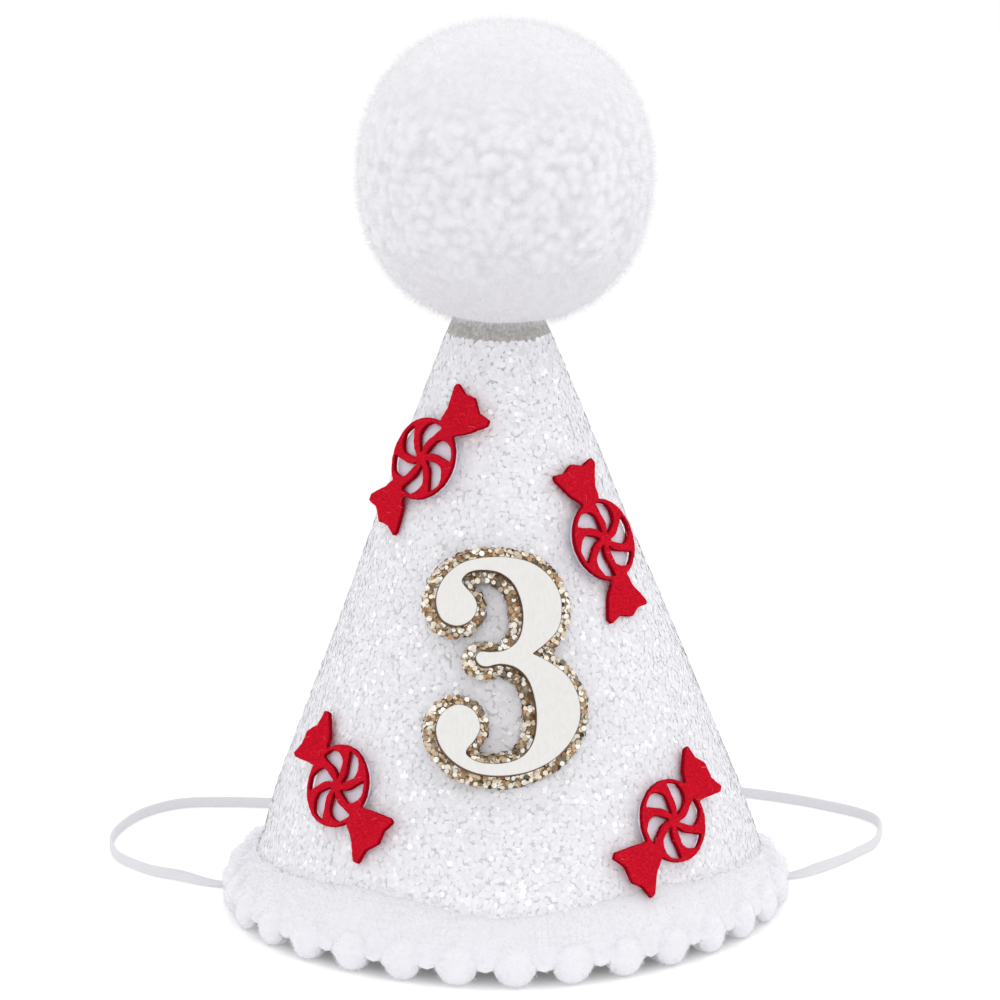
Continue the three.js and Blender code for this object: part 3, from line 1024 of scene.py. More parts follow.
@dataclass
class ChinElastic:
    """Flat elastic from the left of the rim, behind the hat on the floor, to the right."""

    width: float = 2.0
    thickness: float = 0.7
    flat_end: float = 17.0
    twist: float = 16.0
    ribs: int = 4
    rib_depth: float = 0.05
    across: int = 17
    squareness: int = 8
    thin_edge: float = 0.12
    samples: int = 40
    step: float = 0.6
    path_step: int = 4
    route: Sequence[tuple[float, float, float]] = (
        (-40.8, 2.3, 14), (-42.9, 2.4, 8.5), (-44.1, 2.5, 5.5), (-45.6, 2.6, 2.9), (-47.4, 2.7, 1.4),
        (-50.5, 2.9, 0.6), (-53.8, 3.9, 0.7), (-58.6, 6.2, 1.1), (-63.5, 8.9, 1.1), (-67.3, 12.6, 1.1),
        (-70.8, 17.5, 1.1), (-72.5, 23.8, 1.1), (-72.6, 30.2, 1.1), (-71.3, 36.4, 1.1), (-68.4, 43.3, 1.1),
        (-64.9, 47.5, 1.1), (-60.4, 50.2, 1.1), (-51.9, 50.7, 1.1), (-40.0, 50.1, 1.1), (-28.0, 52.1, 1.1),
        (-14.0, 55.7, 1.1), (2.0, 58.7, 1.1), (18.0, 60.4, 1.1), (33.0, 60.0, 1.1), (46.1, 57.0, 1.1),
        (56.1, 52.4, 1.1), (62.0, 48.5, 1.1), (67.9, 43.7, 1.1), (70.4, 40.1, 1.1), (71.1, 35.3, 1.1),
        (69.1, 25.1, 1.1), (66.1, 20.5, 1.1), (61.7, 14.6, 1.1), (57.4, 10.5, 1.0), (54.2, 8.4, 0.7),
        (51.0, 7.2, 0.6), (47.8, 6.8, 1.4), (46.0, 6.5, 2.9), (44.5, 6.3, 5.5), (41.2, 5.8, 14),
    )

    def line(self) -> np.ndarray:
        """Gives points along the middle of the elastic, one step apart.

        Returns:
            The points of a smooth curve through the route, in millimetres.
        """
        given = np.array(self.route, float)
        ends = (2 * given[0] - given[1], 2 * given[-1] - given[-2])
        spots = np.vstack([ends[0], given, ends[1]])
        share = np.linspace(0, 1, self.samples, endpoint=False)[:, None]
        pieces = []
        for p0, p1, p2, p3 in zip(spots, spots[1:], spots[2:], spots[3:]):
            d0, d1, d2 = (math.sqrt(np.linalg.norm(b - a)) for a, b in ((p0, p1), (p1, p2), (p2, p3)))
            start = ((p1 - p0) / d0 - (p2 - p0) / (d0 + d1) + (p2 - p1) / d1) * d1
            end = ((p2 - p1) / d1 - (p3 - p1) / (d1 + d2) + (p3 - p2) / d2) * d1
            cubic = 2 * p1 - 2 * p2 + start + end
            square = -3 * p1 + 3 * p2 - 2 * start - end
            pieces.append(cubic * share**3 + square * share**2 + start * share + p1)
        dense = np.vstack([*pieces, given[-1:]])
        run = np.concatenate([[0], np.cumsum(np.linalg.norm(np.diff(dense, axis=0), axis=1))])
        wanted = np.linspace(0, run[-1], int(run[-1] / self.step) + 1)
        return np.stack([np.interp(wanted, run, dense[:, axis]) for axis in range(3)], -1)

    def section(self) -> np.ndarray:
        """Gives the ribbed section: places across the width and through the thickness."""
        share = np.linspace(-1, 1, self.across)
        groove = self.rib_depth * (0.5 + 0.5 * np.cos(self.ribs * math.pi * (share + 1)))
        half = (self.thickness / 2 - groove) * (1 - share**self.squareness) ** 0.5
        half = np.maximum(half, self.thin_edge * self.thickness)
        top = np.stack([share * self.width / 2, half], -1)
        return np.vstack([top, top[::-1] * (1, -1)])

    def build(self) -> bpy.types.Object:
        """Sweeps the section along the line, flat at both ends and on its edge between them."""
        line = self.line()
        ahead = unit(np.gradient(line, axis=0))
        run = np.arange(len(line)) * self.step
        from_end = np.minimum(run, run[::-1])
        turn = smooth_step(from_end, self.flat_end, self.flat_end + self.twist)[:, None] * math.pi / 2
        level = np.array([0.0, 1.0, 0.0])
        upright = np.array([0.0, 0.0, 1.0])
        flat = unit(level - (ahead @ level)[:, None] * ahead)
        edge = unit(upright - (ahead @ upright)[:, None] * ahead + 1e-9)
        wide = unit(flat * np.cos(turn) + edge * np.sin(turn))
        wide = unit(wide - np.sum(wide * ahead, axis=1, keepdims=True) * ahead)
        thin = np.cross(ahead, wide)
        section = self.section()
        sideways = wide[:, None] * section[None, :, :1]
        through = thin[:, None] * section[None, :, 1:]
        points = line[:, None] + sideways + through
        around = len(section)
        faces = band(len(line), around)
        faces.append(tuple(range(around)))
        faces.append(tuple(range((len(line) - 1) * around, len(line) * around)))
        values = {
            "along": np.repeat(run, around),
            "across": np.tile(section[:, 0], len(line)),
        }
        made = add_mesh("elastic_band", points, faces, values=values)
        hand_over(made, "elastic", "chin_elastic", finishes=[ElasticFinish()])
        path = (line[:: self.path_step] * MM).tolist()
        path.append((line[-1] * MM).tolist())
        self.width * MM
        return made


@dataclass
class GlitterCone:
    """The cone of stiff cloth and the flakes that cover it."""

    form: ConeForm = CONE
    wall: float = 2.0
    bottom: float = 4.8
    top: float = 116.0
    crown: float = 4.0
    seam_gap: float = 0.3
    inside_share: float = 0.4
    around: int = 150
    rows: int = 44
    flakes_from: float = 6.5
    flakes_to: float = 103.0
    flake_width: float = 1.08

    def _turns(self) -> np.ndarray:
        """Gives turns round the cone that begin and end at the flap's edge."""
        edge = self.seam_gap / self.form.foot_radius
        return math.pi + edge + np.linspace(0, FULL_TURN - 2 * edge, self.around)

    def _surface(self, low: float, high: float, rows: int) -> np.ndarray:
        """Gives rows of points on the outer surface."""
        z = np.linspace(low, high, rows)[:, None]
        return self.form.at(self._turns()[None, :] + 0 * z, z + 0 * self._turns()[None, :])

    def cloth(self) -> bpy.types.Object:
        """Builds the shell with its hollow, closed at the rim and at the crown."""
        turns = self._turns()[None, :]
        inside_z = np.linspace(self.top - self.crown, self.bottom, self.rows // 2)[:, None]
        swayed = self.inside_share * self.form.sway(turns, inside_z)
        inside_radius = self.form.radius(inside_z) - self.wall + swayed
        inside = np.stack([
            self.form.axis_x(inside_z) + inside_radius * np.sin(turns),
            -inside_radius * np.cos(turns),
            inside_z + 0 * turns,
        ], -1)
        outside = self._surface(self.bottom, self.top, self.rows)
        rings = np.concatenate([inside, outside])
        faces = band(len(rings), self.around)
        faces.append(tuple(range(self.around)))
        faces.append(tuple(range((len(rings) - 1) * self.around, len(rings) * self.around)))
        made = add_mesh("cone_cloth", rings, faces)
        for face in made.data.polygons:
            centre = face.center / MM
            reach = math.hypot(centre.x - self.form.axis_x(centre.z), centre.y)
            face.material_index = int(reach < self.form.radius(centre.z) - 0.6 * self.wall)
        # The inner cloth's grey-brown is a guess at its colour, darkened as painted shade for the dark
        # inside of the hat seen between the balls.
        shaded_lining = ClothFinish("cone_inside", (0.46, 0.43, 0.42), (0.32, 0.29, 0.28))
        return hand_over(made, "glitter_cloth", "cone_shell", finishes=[ClothFinish(), shaded_lining])

    def flakes(self) -> None:
        """Covers the cone with flat flakes and strews tilted ones over them."""
        layers = (
            ("cone_flakes", Scatter(7.8, 11, distance=0.58, tilt=0.02, lowest=0.0, highest=0.03)),
            ("cone_loose_flakes", Scatter(0.8, 23, distance=0.6, tilt=0.07, lowest=0.035, highest=0.06)),
        )
        for name, scatter in layers:
            rings = self._surface(self.flakes_from, self.flakes_to, self.rows)
            surface = add_mesh(name, rings, band(len(rings), self.around), closed=False)
            scatter.over(surface, [flake(f"{name}_flake", self.flake_width)], FlakeFinish())
            hand_over(surface, "glitter_cloth")

    def build(self) -> None:
        """Builds the cloth and its flakes."""
        self.cloth()
        self.flakes()


@dataclass
class Pompom:
    """A ball of cut yarn: a soft lumpy surface, with fine fibres that stand past it."""

    centre: tuple[float, float, float] = (0.5, 0.0, 131.2)
    tall: float = 1.03
    radius: float = 25.5
    fullness: float = 2.2
    lump: float = 1.95
    lump_reach: float = 0.75
    lump_height: float = 0.55
    lump_base: float = 0.6
    lump_softness: float = 7.0
    calm_share: float = 0.7
    calm_range: tuple[float, float] = (7.0, 19.0)
    # Painted light: the lump tops and the top of the ball are painted paler.
    lump_light_range: tuple[float, float] = (0.2, 0.95)
    painted_top_light: float = 0.6
    painted_top_light_range: tuple[float, float] = (6.0, 18.0)
    sag: float = 0.3
    sag_size: float = 9.0
    fuzz_root: float = 25.3
    top_hole: float = 0.012
    around: int = 330
    rows: int = 164
    pocket_top: float = 116.4
    clearance: float = 0.35

    def _ball(self, radius: float, rows: int, around: int) -> np.ndarray:
        """Gives rows of points on a full round ball, from the hole for the cone to the top."""
        start = math.asin(min(1.0, self._hole(radius) / radius))
        fall = np.linspace(math.pi - start, self.top_hole, rows)[:, None]
        turns = np.linspace(0, FULL_TURN, around, endpoint=False)[None, :]
        powers = np.abs(np.cos(fall)) ** self.fullness + np.sin(fall) ** self.fullness
        full = powers ** (-1 / self.fullness)
        return np.stack([
            self.centre[0] + radius * full * np.sin(fall) * np.sin(turns),
            self.centre[1] - radius * full * np.sin(fall) * np.cos(turns),
            self.centre[2] + self.tall * radius * full * np.cos(fall) + 0 * turns,
        ], -1)

    def _hole(self, radius: float) -> float:
        """Gives the radius of the hole where the cone goes into a ball of that radius."""
        return CONE.radius(self.centre[2] - self.tall * radius * 0.97) + self.clearance

    def _lumps(self, points: np.ndarray) -> np.ndarray:
        """Gives how high each point lies on the soft lumps of yarn, from 0 between them to 1."""
        heights = []
        for point in points.reshape(-1, 3) / self.lump:
            near = np.array(noise.voronoi(Vector(point))[0])
            soft = -math.log(np.exp(-self.lump_softness * near).sum()) / self.lump_softness
            heights.append(1 - min(max(soft / self.lump_reach, 0.0), 1.0) ** 2)
        return np.array(heights).reshape(points.shape[:-1])

    def yarn(self) -> bpy.types.Object:
        """Builds the ball with its lumps, and the pocket that the cone's tip stands in."""
        ball = self._ball(self.radius, self.rows, self.around)
        outward = unit(ball - np.array(self.centre))
        level = np.abs(ball[..., 2] - self.centre[2])
        lumps = self._lumps(ball) * (1 - self.calm_share * smooth_step(level, *self.calm_range))
        height = self.lump_height * (lumps - self.lump_base) + self.sag * ripple(ball, self.sag_size, 2)
        ball = ball + outward * height[..., None]
        turns = np.linspace(0, FULL_TURN, self.around, endpoint=False)
        wall = []
        for z in (self.pocket_top, float(ball[0, :, 2].min()) + 0.3):
            radius = CONE.radius(z) + self.clearance
            centre = CONE.axis_x(z)
            spots = [centre + radius * np.sin(turns), -radius * np.cos(turns), z + 0 * turns]
            wall.append(np.stack(spots, -1))
        rings = np.concatenate([np.array(wall), ball])
        faces = band(len(rings), self.around)
        faces.append(tuple(range(self.around)))
        faces.append(tuple(range((len(rings) - 1) * self.around, len(rings) * self.around)))
        # Painted light and shade: paler on the tops of the lumps and on the top of the ball, darker in the
        # hollows and underneath.
        above = self.painted_top_light * smooth_step(ball[..., 2] - self.centre[2], *self.painted_top_light_range)
        pale = smooth_step(lumps, *self.lump_light_range) + above
        painted_light = np.concatenate([np.zeros((len(wall), self.around)), np.minimum(pale, 1)])
        made = add_mesh("pompom_yarn", rings, faces, values={"tip": painted_light})
        return hand_over(made, "yarn", "pompom", finishes=[YarnFinish()])

    def fuzz(self) -> bpy.types.Object:
        """Grows the fine fibres that soften the outline."""
        rings = self._ball(self.fuzz_root, 44, 72)
        fibres = add_mesh("pompom_fuzz", rings, band(*rings.shape[:2]), closed=False)
        shapes = Fibre(1.9, 0.036).shapes("fuzz")
        scatter = Scatter(7.4, 37, Spread.LOOSE, smallest=0.3, largest=1.2, tilt=0.9)
        finish = FibreFinish("yarn_fibres", (0.76, 0.755, 0.78), (0.86, 0.855, 0.88))
        scatter.over(fibres, shapes, finish)
        return hand_over(fibres, "yarn")

    def build(self) -> None:
        """Builds the yarn and its fuzz."""
        self.yarn()
        self.fuzz()


FRINGE_YARN = YarnFinish(
    "fringe_yarn", (0.78, 0.775, 0.81), (0.74, 0.735, 0.765), fibre=0.2, relief=0.07, painted_light=0.0
)


@dataclass
class BallFringe:
    """Woven tape round the rim, whose fluff runs on over the balls under its edge.

    The dips and the shoulders of its top edge have their turn, width and height. A bump of the
    fluff has its size, seed and height. A row behind has its place up the tape, as a share, and
    how far it stands out from the cone.
    """

    threads: int = 264
    thread_steps: int = 4
    thread_depth: float = 0.05
    row_height: float = 1.15
    rows: int = 26
    top: float = 13.1
    top_edge: float = -0.15
    ragged: float = 0.3
    ragged_ring: float = 46.0
    ragged_size: float = 2.2
    ragged_seed: int = 6
    front_dip: tuple[float, float, float] = (0.0, 0.25, 0.8)
    side_dip: tuple[float, float, float] = (1.9, 0.65, 4.6)
    shoulder: tuple[float, float, float] = (0.58, 0.25, 1.2)
    thickness: float = 2.7
    rounding: float = 7.0
    skirt: float = 3.3
    lobe: float = 0.5
    lobe_width: float = 0.7
    foot: float = 0.3
    tuck: float = 1.3
    weave_starts: tuple[float, float] = (5.5, 7.5)
    weave_ends: tuple[float, float] = (-1.5, -0.2)
    bumps: Sequence[tuple[float, float, float]] = ((1.7, 0, 0.14), (5.0, 3, 0.16))
    smooth_top: float = -2.0
    fade_range: tuple[float, float] = (-1.6, -0.4)
    behind_foot: float = 0.4
    behind: Sequence[tuple[float, float]] = ((0.97, -0.3), (0.5, 0.0), (0.1, 0.3))
    balls: int = 32
    ball_radius: float = 3.3
    ball_core: float = 3.0
    ball_ring: float = 48.7
    ball_z: float = 3.05
    first_turn: float = 0.042
    ball_kinds: int = 4
    ball_rows: int = 15
    ball_around: int = 26
    ball_hole: float = 0.02
    ball_lump: float = 0.12
    ball_lump_size: float = 1.3
    ball_sizes: tuple[float, float] = (0.985, 1.01)
    ball_seed: int = 9
    floor_gap: float = 0.02
    blend: float = 0.55
    stretch: float = 0.8

    def _top(self, turns: np.ndarray) -> np.ndarray:
        """Gives the height of the tape's top edge, which isn't level."""
        side = np.abs(np.mod(turns + math.pi, FULL_TURN) - math.pi)
        ring = self.ragged_ring
        spots = np.stack([ring * np.sin(turns), ring * np.cos(turns), 0 * turns], -1)
        ragged = ripple(spots, self.ragged_size, self.ragged_seed) * self.ragged
        dip = hill(side, *self.front_dip) + hill(side, *self.side_dip)
        return self.top + hill(side, *self.shoulder) - dip + ragged

    def _skin(self) -> tuple[np.ndarray, dict[str, np.ndarray]]:
        """Lays the fluffy skin over the tape and the fronts of the balls.

        Returns:
            The points in rows from the lower edge to the top one, and their attributes: the rows of
            threads, how plain the weave shows, and how far the skin fades at its top edge.
        """
        around = self.threads * self.thread_steps
        turns = np.linspace(0, FULL_TURN, around, endpoint=False)[None, :]
        pitch = FULL_TURN / self.balls
        aside = (np.mod(turns - self.first_turn + pitch / 2, pitch) - pitch / 2) * self.ball_ring
        within = np.clip(1 - (aside / self.ball_radius) ** 2, 0, 1)
        from_gap = pitch / 2 * self.ball_ring - np.abs(aside)
        lobes = hill(from_gap, 0, self.lobe_width, self.lobe)
        low = self.skirt - (self.skirt - self.foot) * within**0.4 - lobes
        top = self._top(turns)
        z = low + (top - low) * np.linspace(0, 1, self.rows)[:, None] ** 1.05
        under = np.clip(self.skirt - z, 0, None)
        padding = self.thickness * smooth_step(top - z, 0, self.rounding)
        tape = CONE.radius(z) + self.top_edge + padding - self.tuck * under
        over = (z - self.ball_z) * np.where(z > self.ball_z, self.stretch, 1)
        inside = self.ball_radius**2 - over**2 - aside**2
        ball = self.ball_ring + np.sign(inside) * np.sqrt(np.abs(inside))
        most = np.maximum(tape, ball)
        parts = np.exp((tape - most) / self.blend) + np.exp((ball - most) / self.blend)
        radius = most + self.blend * np.log(parts)
        down = (z - self.skirt) / self.row_height
        woven = smooth_step(z, *self.weave_starts) * (1 - smooth_step(z - top, *self.weave_ends))
        columns = self.thread_depth * np.cos(self.threads * turns)
        radius = radius + columns * np.cos(FULL_TURN * down) * woven
        spots = np.stack([radius * np.sin(turns), -radius * np.cos(turns), z], -1)[:, :: self.thread_steps]
        heights = (ripple(spots, size, seed) * height for size, seed, height in self.bumps)
        coarse = sum(heights)[:, :, None]
        share = np.arange(self.thread_steps) / self.thread_steps
        soft = (coarse * (1 - share) + np.roll(coarse, -1, axis=1) * share).reshape(radius.shape)
        radius = radius + soft * (1 - smooth_step(z - top, self.smooth_top, 0))
        fade = smooth_step(z - top, *self.fade_range)
        return self._on_cone(radius, turns, z), {"down": down, "woven": woven, "fade": fade}

    @staticmethod
    def _on_cone(radius: np.ndarray, turns: np.ndarray, z: np.ndarray) -> np.ndarray:
        """Gives points round the hat that follow its uneven rim, its leaning axis and its flap."""
        past_back = np.mod(turns, FULL_TURN) - math.pi
        lap = hill(past_back, 0, CONE.flap_turn, CONE.flap) * smooth_step(z, 4, 8)
        radius = radius + CONE.waves(turns, z) + CONE.sway(turns, z) + lap
        axis = CONE.axis_x(z) * smooth_step(z, 4, 9)
        return np.stack([axis + radius * np.sin(turns), -radius * np.cos(turns), z + 0 * turns], -1)

    def tape(self) -> bpy.types.Object:
        """Builds the band, closed behind the skin."""
        skin, values = self._skin()
        around = skin.shape[1]
        turns = np.linspace(0, FULL_TURN, around, endpoint=False)[None, :]
        top = self._top(turns)
        behind = []
        for share, stand in self.behind:
            z = self.skirt + self.behind_foot + (top - self.skirt - self.behind_foot) * share
            behind.append(self._on_cone(CONE.radius(z) + stand, turns, z)[0])
        points = np.concatenate([skin, np.array(behind)])
        extra = len(behind)
        padded = {
            name: np.concatenate([rows, np.repeat(rows[-1:], extra, axis=0)])
            for name, rows in values.items()
        }
        padded["fade"][-2:] = 0
        made = add_mesh("tape_band", points, band(len(points), around, ring=True), values=padded)
        return hand_over(made, "fringe", "trim_tape", finishes=[TapeFinish()])

    def tape_fluff(self) -> bpy.types.Object:
        """Grows short fibres all over the tape and the fronts of the balls."""
        points = self._skin()[0][:, ::2]
        made = add_mesh("tape_fluff", points, band(*points.shape[:2]), closed=False)
        scatter = Scatter(11.0, 43, Spread.LOOSE, smallest=0.4, largest=1.15, tilt=1.15)
        scatter.over(made, Fibre(0.75, 0.06).shapes("fluff"), FibreFinish())
        return hand_over(made, "fringe")

    def _ball_kind(self, order: int) -> bpy.types.Mesh:
        """Makes one kind of fluffy ball round the origin and gives its mesh."""
        rows, around = self.ball_rows, self.ball_around
        fall = np.linspace(math.pi - self.ball_hole, self.ball_hole, rows)[:, None]
        turns = np.linspace(0, FULL_TURN, around, endpoint=False)[None, :]
        sphere = np.stack(
            [np.sin(fall) * np.cos(turns), np.sin(fall) * np.sin(turns), np.cos(fall) + 0 * turns], -1
        )
        lumps = ripple(sphere * self.ball_core, self.ball_lump_size, order + 1)
        rough = self.ball_core + self.ball_lump * lumps
        sphere = sphere * rough[..., None]
        faces = band(rows, around)
        caps = [tuple(range(around)), tuple(range((rows - 1) * around, rows * around))]
        core = add_mesh(f"ball_core_{order}", sphere, faces + caps)
        core.data.materials.append(FRINGE_YARN.material())
        fluff = add_mesh(f"ball_kind_{order}", sphere, faces, closed=False)
        scatter = Scatter(4.6, 51 + order, Spread.LOOSE, smallest=0.5, largest=1.05, tilt=0.95)
        scatter.over(fluff, Fibre(0.62, 0.07).shapes("down"), FibreFinish())
        both = [fluff, core]
        with bpy.context.temp_override(
            active_object=fluff, object=fluff, selected_objects=both, selected_editable_objects=both
        ):
            bpy.ops.object.join()
        mesh = fluff.data
        bpy.data.objects.remove(fluff)
        return mesh

    def fluffy_balls(self) -> None:
        """Places a ball at each node of the frame, each turned its own way and flat on the floor."""
        kinds = [self._ball_kind(order) for order in range(self.ball_kinds)]
        random = np.random.default_rng(self.ball_seed)
        for order in range(self.balls):
            turn = self.first_turn + FULL_TURN * order / self.balls
            mesh = kinds[order % self.ball_kinds].copy()
            points = points_of(mesh)
            spin = random.uniform(0, FULL_TURN, 3)
            for axis in range(3):
                a, b = [other for other in range(3) if other != axis]
                first = points[:, a] * math.cos(spin[axis]) - points[:, b] * math.sin(spin[axis])
                points[:, b] = points[:, a] * math.sin(spin[axis]) + points[:, b] * math.cos(spin[axis])
                points[:, a] = first
            size = random.uniform(*self.ball_sizes, 3)
            ring = self.ball_ring + float(CONE.rim(turn))
            middle = (ring * math.sin(turn), -ring * math.cos(turn), self.ball_z)
            points = points * size + middle
            points[:, 2] = np.maximum(points[:, 2], self.floor_gap)
            set_points(mesh, points)
            made = bpy.data.objects.new(f"fluffy_ball_{order + 1:02d}", mesh)
            mesh.name = made.name
            bpy.context.scene.collection.objects.link(made)
            hand_over(made, "fringe", f"ball_{order + 1:02d}")
        for mesh in kinds:
            bpy.data.meshes.remove(mesh)

    def build(self) -> None:
        """Builds the tape, its fluff and the balls."""
        self.tape()
        self.tape_fluff()
        self.fluffy_balls()


@dataclass
class Numeral:
    """The wooden numeral and the glitter plate behind it, flat against the front of the cone."""

    turn: float = 0.087
    z: float = 50.3
    sideways: float = -2.1
    border: float = 1.6
    backing_shift: float = -0.2
    border_share: float = 0.97
    backing: tuple[float, float] = (0.3, 1.5)
    face: tuple[float, float] = (1.8, 4.6)
    flake_width: float = 1.05
    samples: int = 4
    notch: tuple[float, float] = (4.5, 2.0)
    outline: Sequence[tuple[float, float]] = (
        (6.8, 3.7), (8.9, 6.0), (9.7, 9.0), (9.4, 12.4), (7.6, 15.5), (4.7, 17.7),
        (1.0, 18.7), (-3.0, 18.8), (-6.8, 18.1), (-9.6, 16.3), (-11.4, 13.7), (-11.9, 10.8),
        (-10.9, 8.1), (-8.4, 7.0), (-6.0, 7.9), (-4.8, 10.0), (-5.3, 12.1), (-6.8, 13.9),
        (-7.2, 15.0), (-5.9, 16.2), (-3.5, 16.5), (-0.7, 15.9), (1.5, 14.0), (2.7, 10.9),
        (2.9, 7.6), (2.0, 4.5), (-0.2, 2.8), (-2.8, 2.5), (-4.6, 2.6), (-5.4, 1.6),
        (-4.9, 0.4), (-3.6, -0.1), (-1.1, 0.3), (1.5, -0.4), (3.4, -2.4), (4.4, -5.5),
        (4.7, -9.1), (4.1, -12.7), (2.3, -15.3), (-0.8, -16.5), (-4.7, -16.4), (-6.9, -15.4),
        (-7.4, -14.3), (-5.8, -12.4), (-4.9, -10.2), (-5.9, -7.5), (-8.6, -6.3), (-11.4, -7.7),
        (-12.6, -10.6), (-11.7, -13.9), (-9.2, -16.6), (-5.7, -18.3), (-1.5, -18.8), (3.1, -18.2),
        (7.3, -16.3), (10.5, -13.2), (12.2, -9.4), (12.0, -5.3), (10.1, -1.7), (7.0, 0.7),
    )

    def line(self) -> np.ndarray:
        """Gives the numeral's edge as a smooth line from its notch, anticlockwise."""
        given = np.array([self.notch, *self.outline, self.notch])
        before = np.vstack([given[:1], given[:-2]])
        after = np.vstack([given[2:], given[-1:]])
        share = np.linspace(0, 1, self.samples, endpoint=False)[None, :, None]
        p1, p2 = given[:-1, None], given[1:, None]
        start = (p2 - before[:, None]) / 2
        end = (after[:, None] - p1) / 2
        cubic = 2 * p1 - 2 * p2 + start + end
        square = -3 * p1 + 3 * p2 - 2 * start - end
        return (cubic * share**3 + square * share**2 + start * share + p1).reshape(-1, 2)

    @staticmethod
    def moved(line: np.ndarray, distance: float) -> np.ndarray:
        """Moves a closed line outwards by a distance, point by point."""
        run = unit(np.roll(line, -1, axis=0) - np.roll(line, 1, axis=0))
        return line + distance * np.stack([run[:, 1], -run[:, 0]], -1)

    def grown(self, line: np.ndarray) -> np.ndarray:
        """Gives the edge of the glitter plate, as far from the numeral all round as its border."""
        wide = self.moved(line, self.border)
        gaps = np.linalg.norm(wide[:, None] - line[None], axis=-1).min(axis=1)
        return wide[gaps > self.border * self.border_share] + (self.backing_shift, 0)

    def on_hat(self, flat: np.ndarray, height: float) -> np.ndarray:
        """Places flat points at a height over the cone, in the plane of the plates."""
        spot, across, slope, out = CONE.plane(self.turn, self.z)
        return spot + (flat[:, :1] + self.sideways) * across + flat[:, 1:] * slope + height * out

    def plate(
        self, name: str, line: np.ndarray, rings: Sequence[tuple[float, float, float]]
    ) -> bpy.types.Object:
        """Builds a plate with soft edges.

        Args:
            name: Name of the object.
            line: The plate's edge, anticlockwise.
            rings: For each ring from the back to the front, its height, how far it lies inside
                the edge, and how scorched it is from 0 to 1.

        Returns:
            The object.
        """
        points = [self.on_hat(self.moved(line, -inset), height) for height, inset, _ in rings]
        count = len(line)
        faces = band(len(rings), count)
        faces.append(tuple(range(count)))
        faces.append(tuple(range((len(rings) - 1) * count, len(rings) * count)))
        scorch = np.repeat([ring[2] for ring in rings], count)
        made = add_mesh(name, np.vstack(points), faces, values={"char": scorch})
        made.data.set_sharp_from_angle(angle=math.radians(50))
        return made

    def build(self) -> None:
        """Builds the glitter plate, its flakes and the wooden numeral."""
        line = self.line()
        wide = self.grown(line)
        low, high = self.backing
        rings = ((low, 0.15, 0), (low + 0.12, 0, 0), (high - 0.25, 0, 0), (high, 0.3, 0))
        ground = self.plate("numeral_ground", wide, rings)
        hand_over(ground, "gold_glitter", "numeral_backing", finishes=[GlueFinish()])

        flakes = self.plate("numeral_flakes", wide, rings[1:])
        gold = FlakeFinish(
            "gold_flakes",
            (
                (0.0, (0.04, 0.03, 0.02)),
                (0.05, (0.17, 0.15, 0.12)),
                (0.14, (0.32, 0.17, 0.08)),
                (0.22, (0.46, 0.30, 0.17)),
                (0.34, (0.58, 0.48, 0.34)),
                (0.48, (0.74, 0.69, 0.60)),
                (0.62, (0.88, 0.86, 0.80)),
                (0.78, (0.86, 0.72, 0.58)),
                (0.88, (0.70, 0.70, 0.62)),
                (0.95, (1.0, 1.0, 0.98)),
            ),
            metal=0.7,
            roughness=(0.16, 0.4),
            patches=0.2,
        )
        scatter = Scatter(
            4.8, 61, distance=0.46, smallest=0.75, largest=1.08, tilt=0.4, lowest=0.1, highest=0.5
        )
        scatter.over(flakes, [flake("gold_flake", self.flake_width)], gold)
        hand_over(flakes, "gold_glitter")

        low, high = self.face
        rings = (
            (low, 0.15, 1), (low + 0.12, 0, 1), (high - 0.14, 0, 1), (high - 0.03, 0.05, 0.8),
            (high, 0.16, 0.3), (high, 0.5, 0),
        )
        wood = self.plate("numeral_wood", line, rings)
        hand_over(wood, "painted_wood", "numeral_face", finishes=[PaintFinish()])


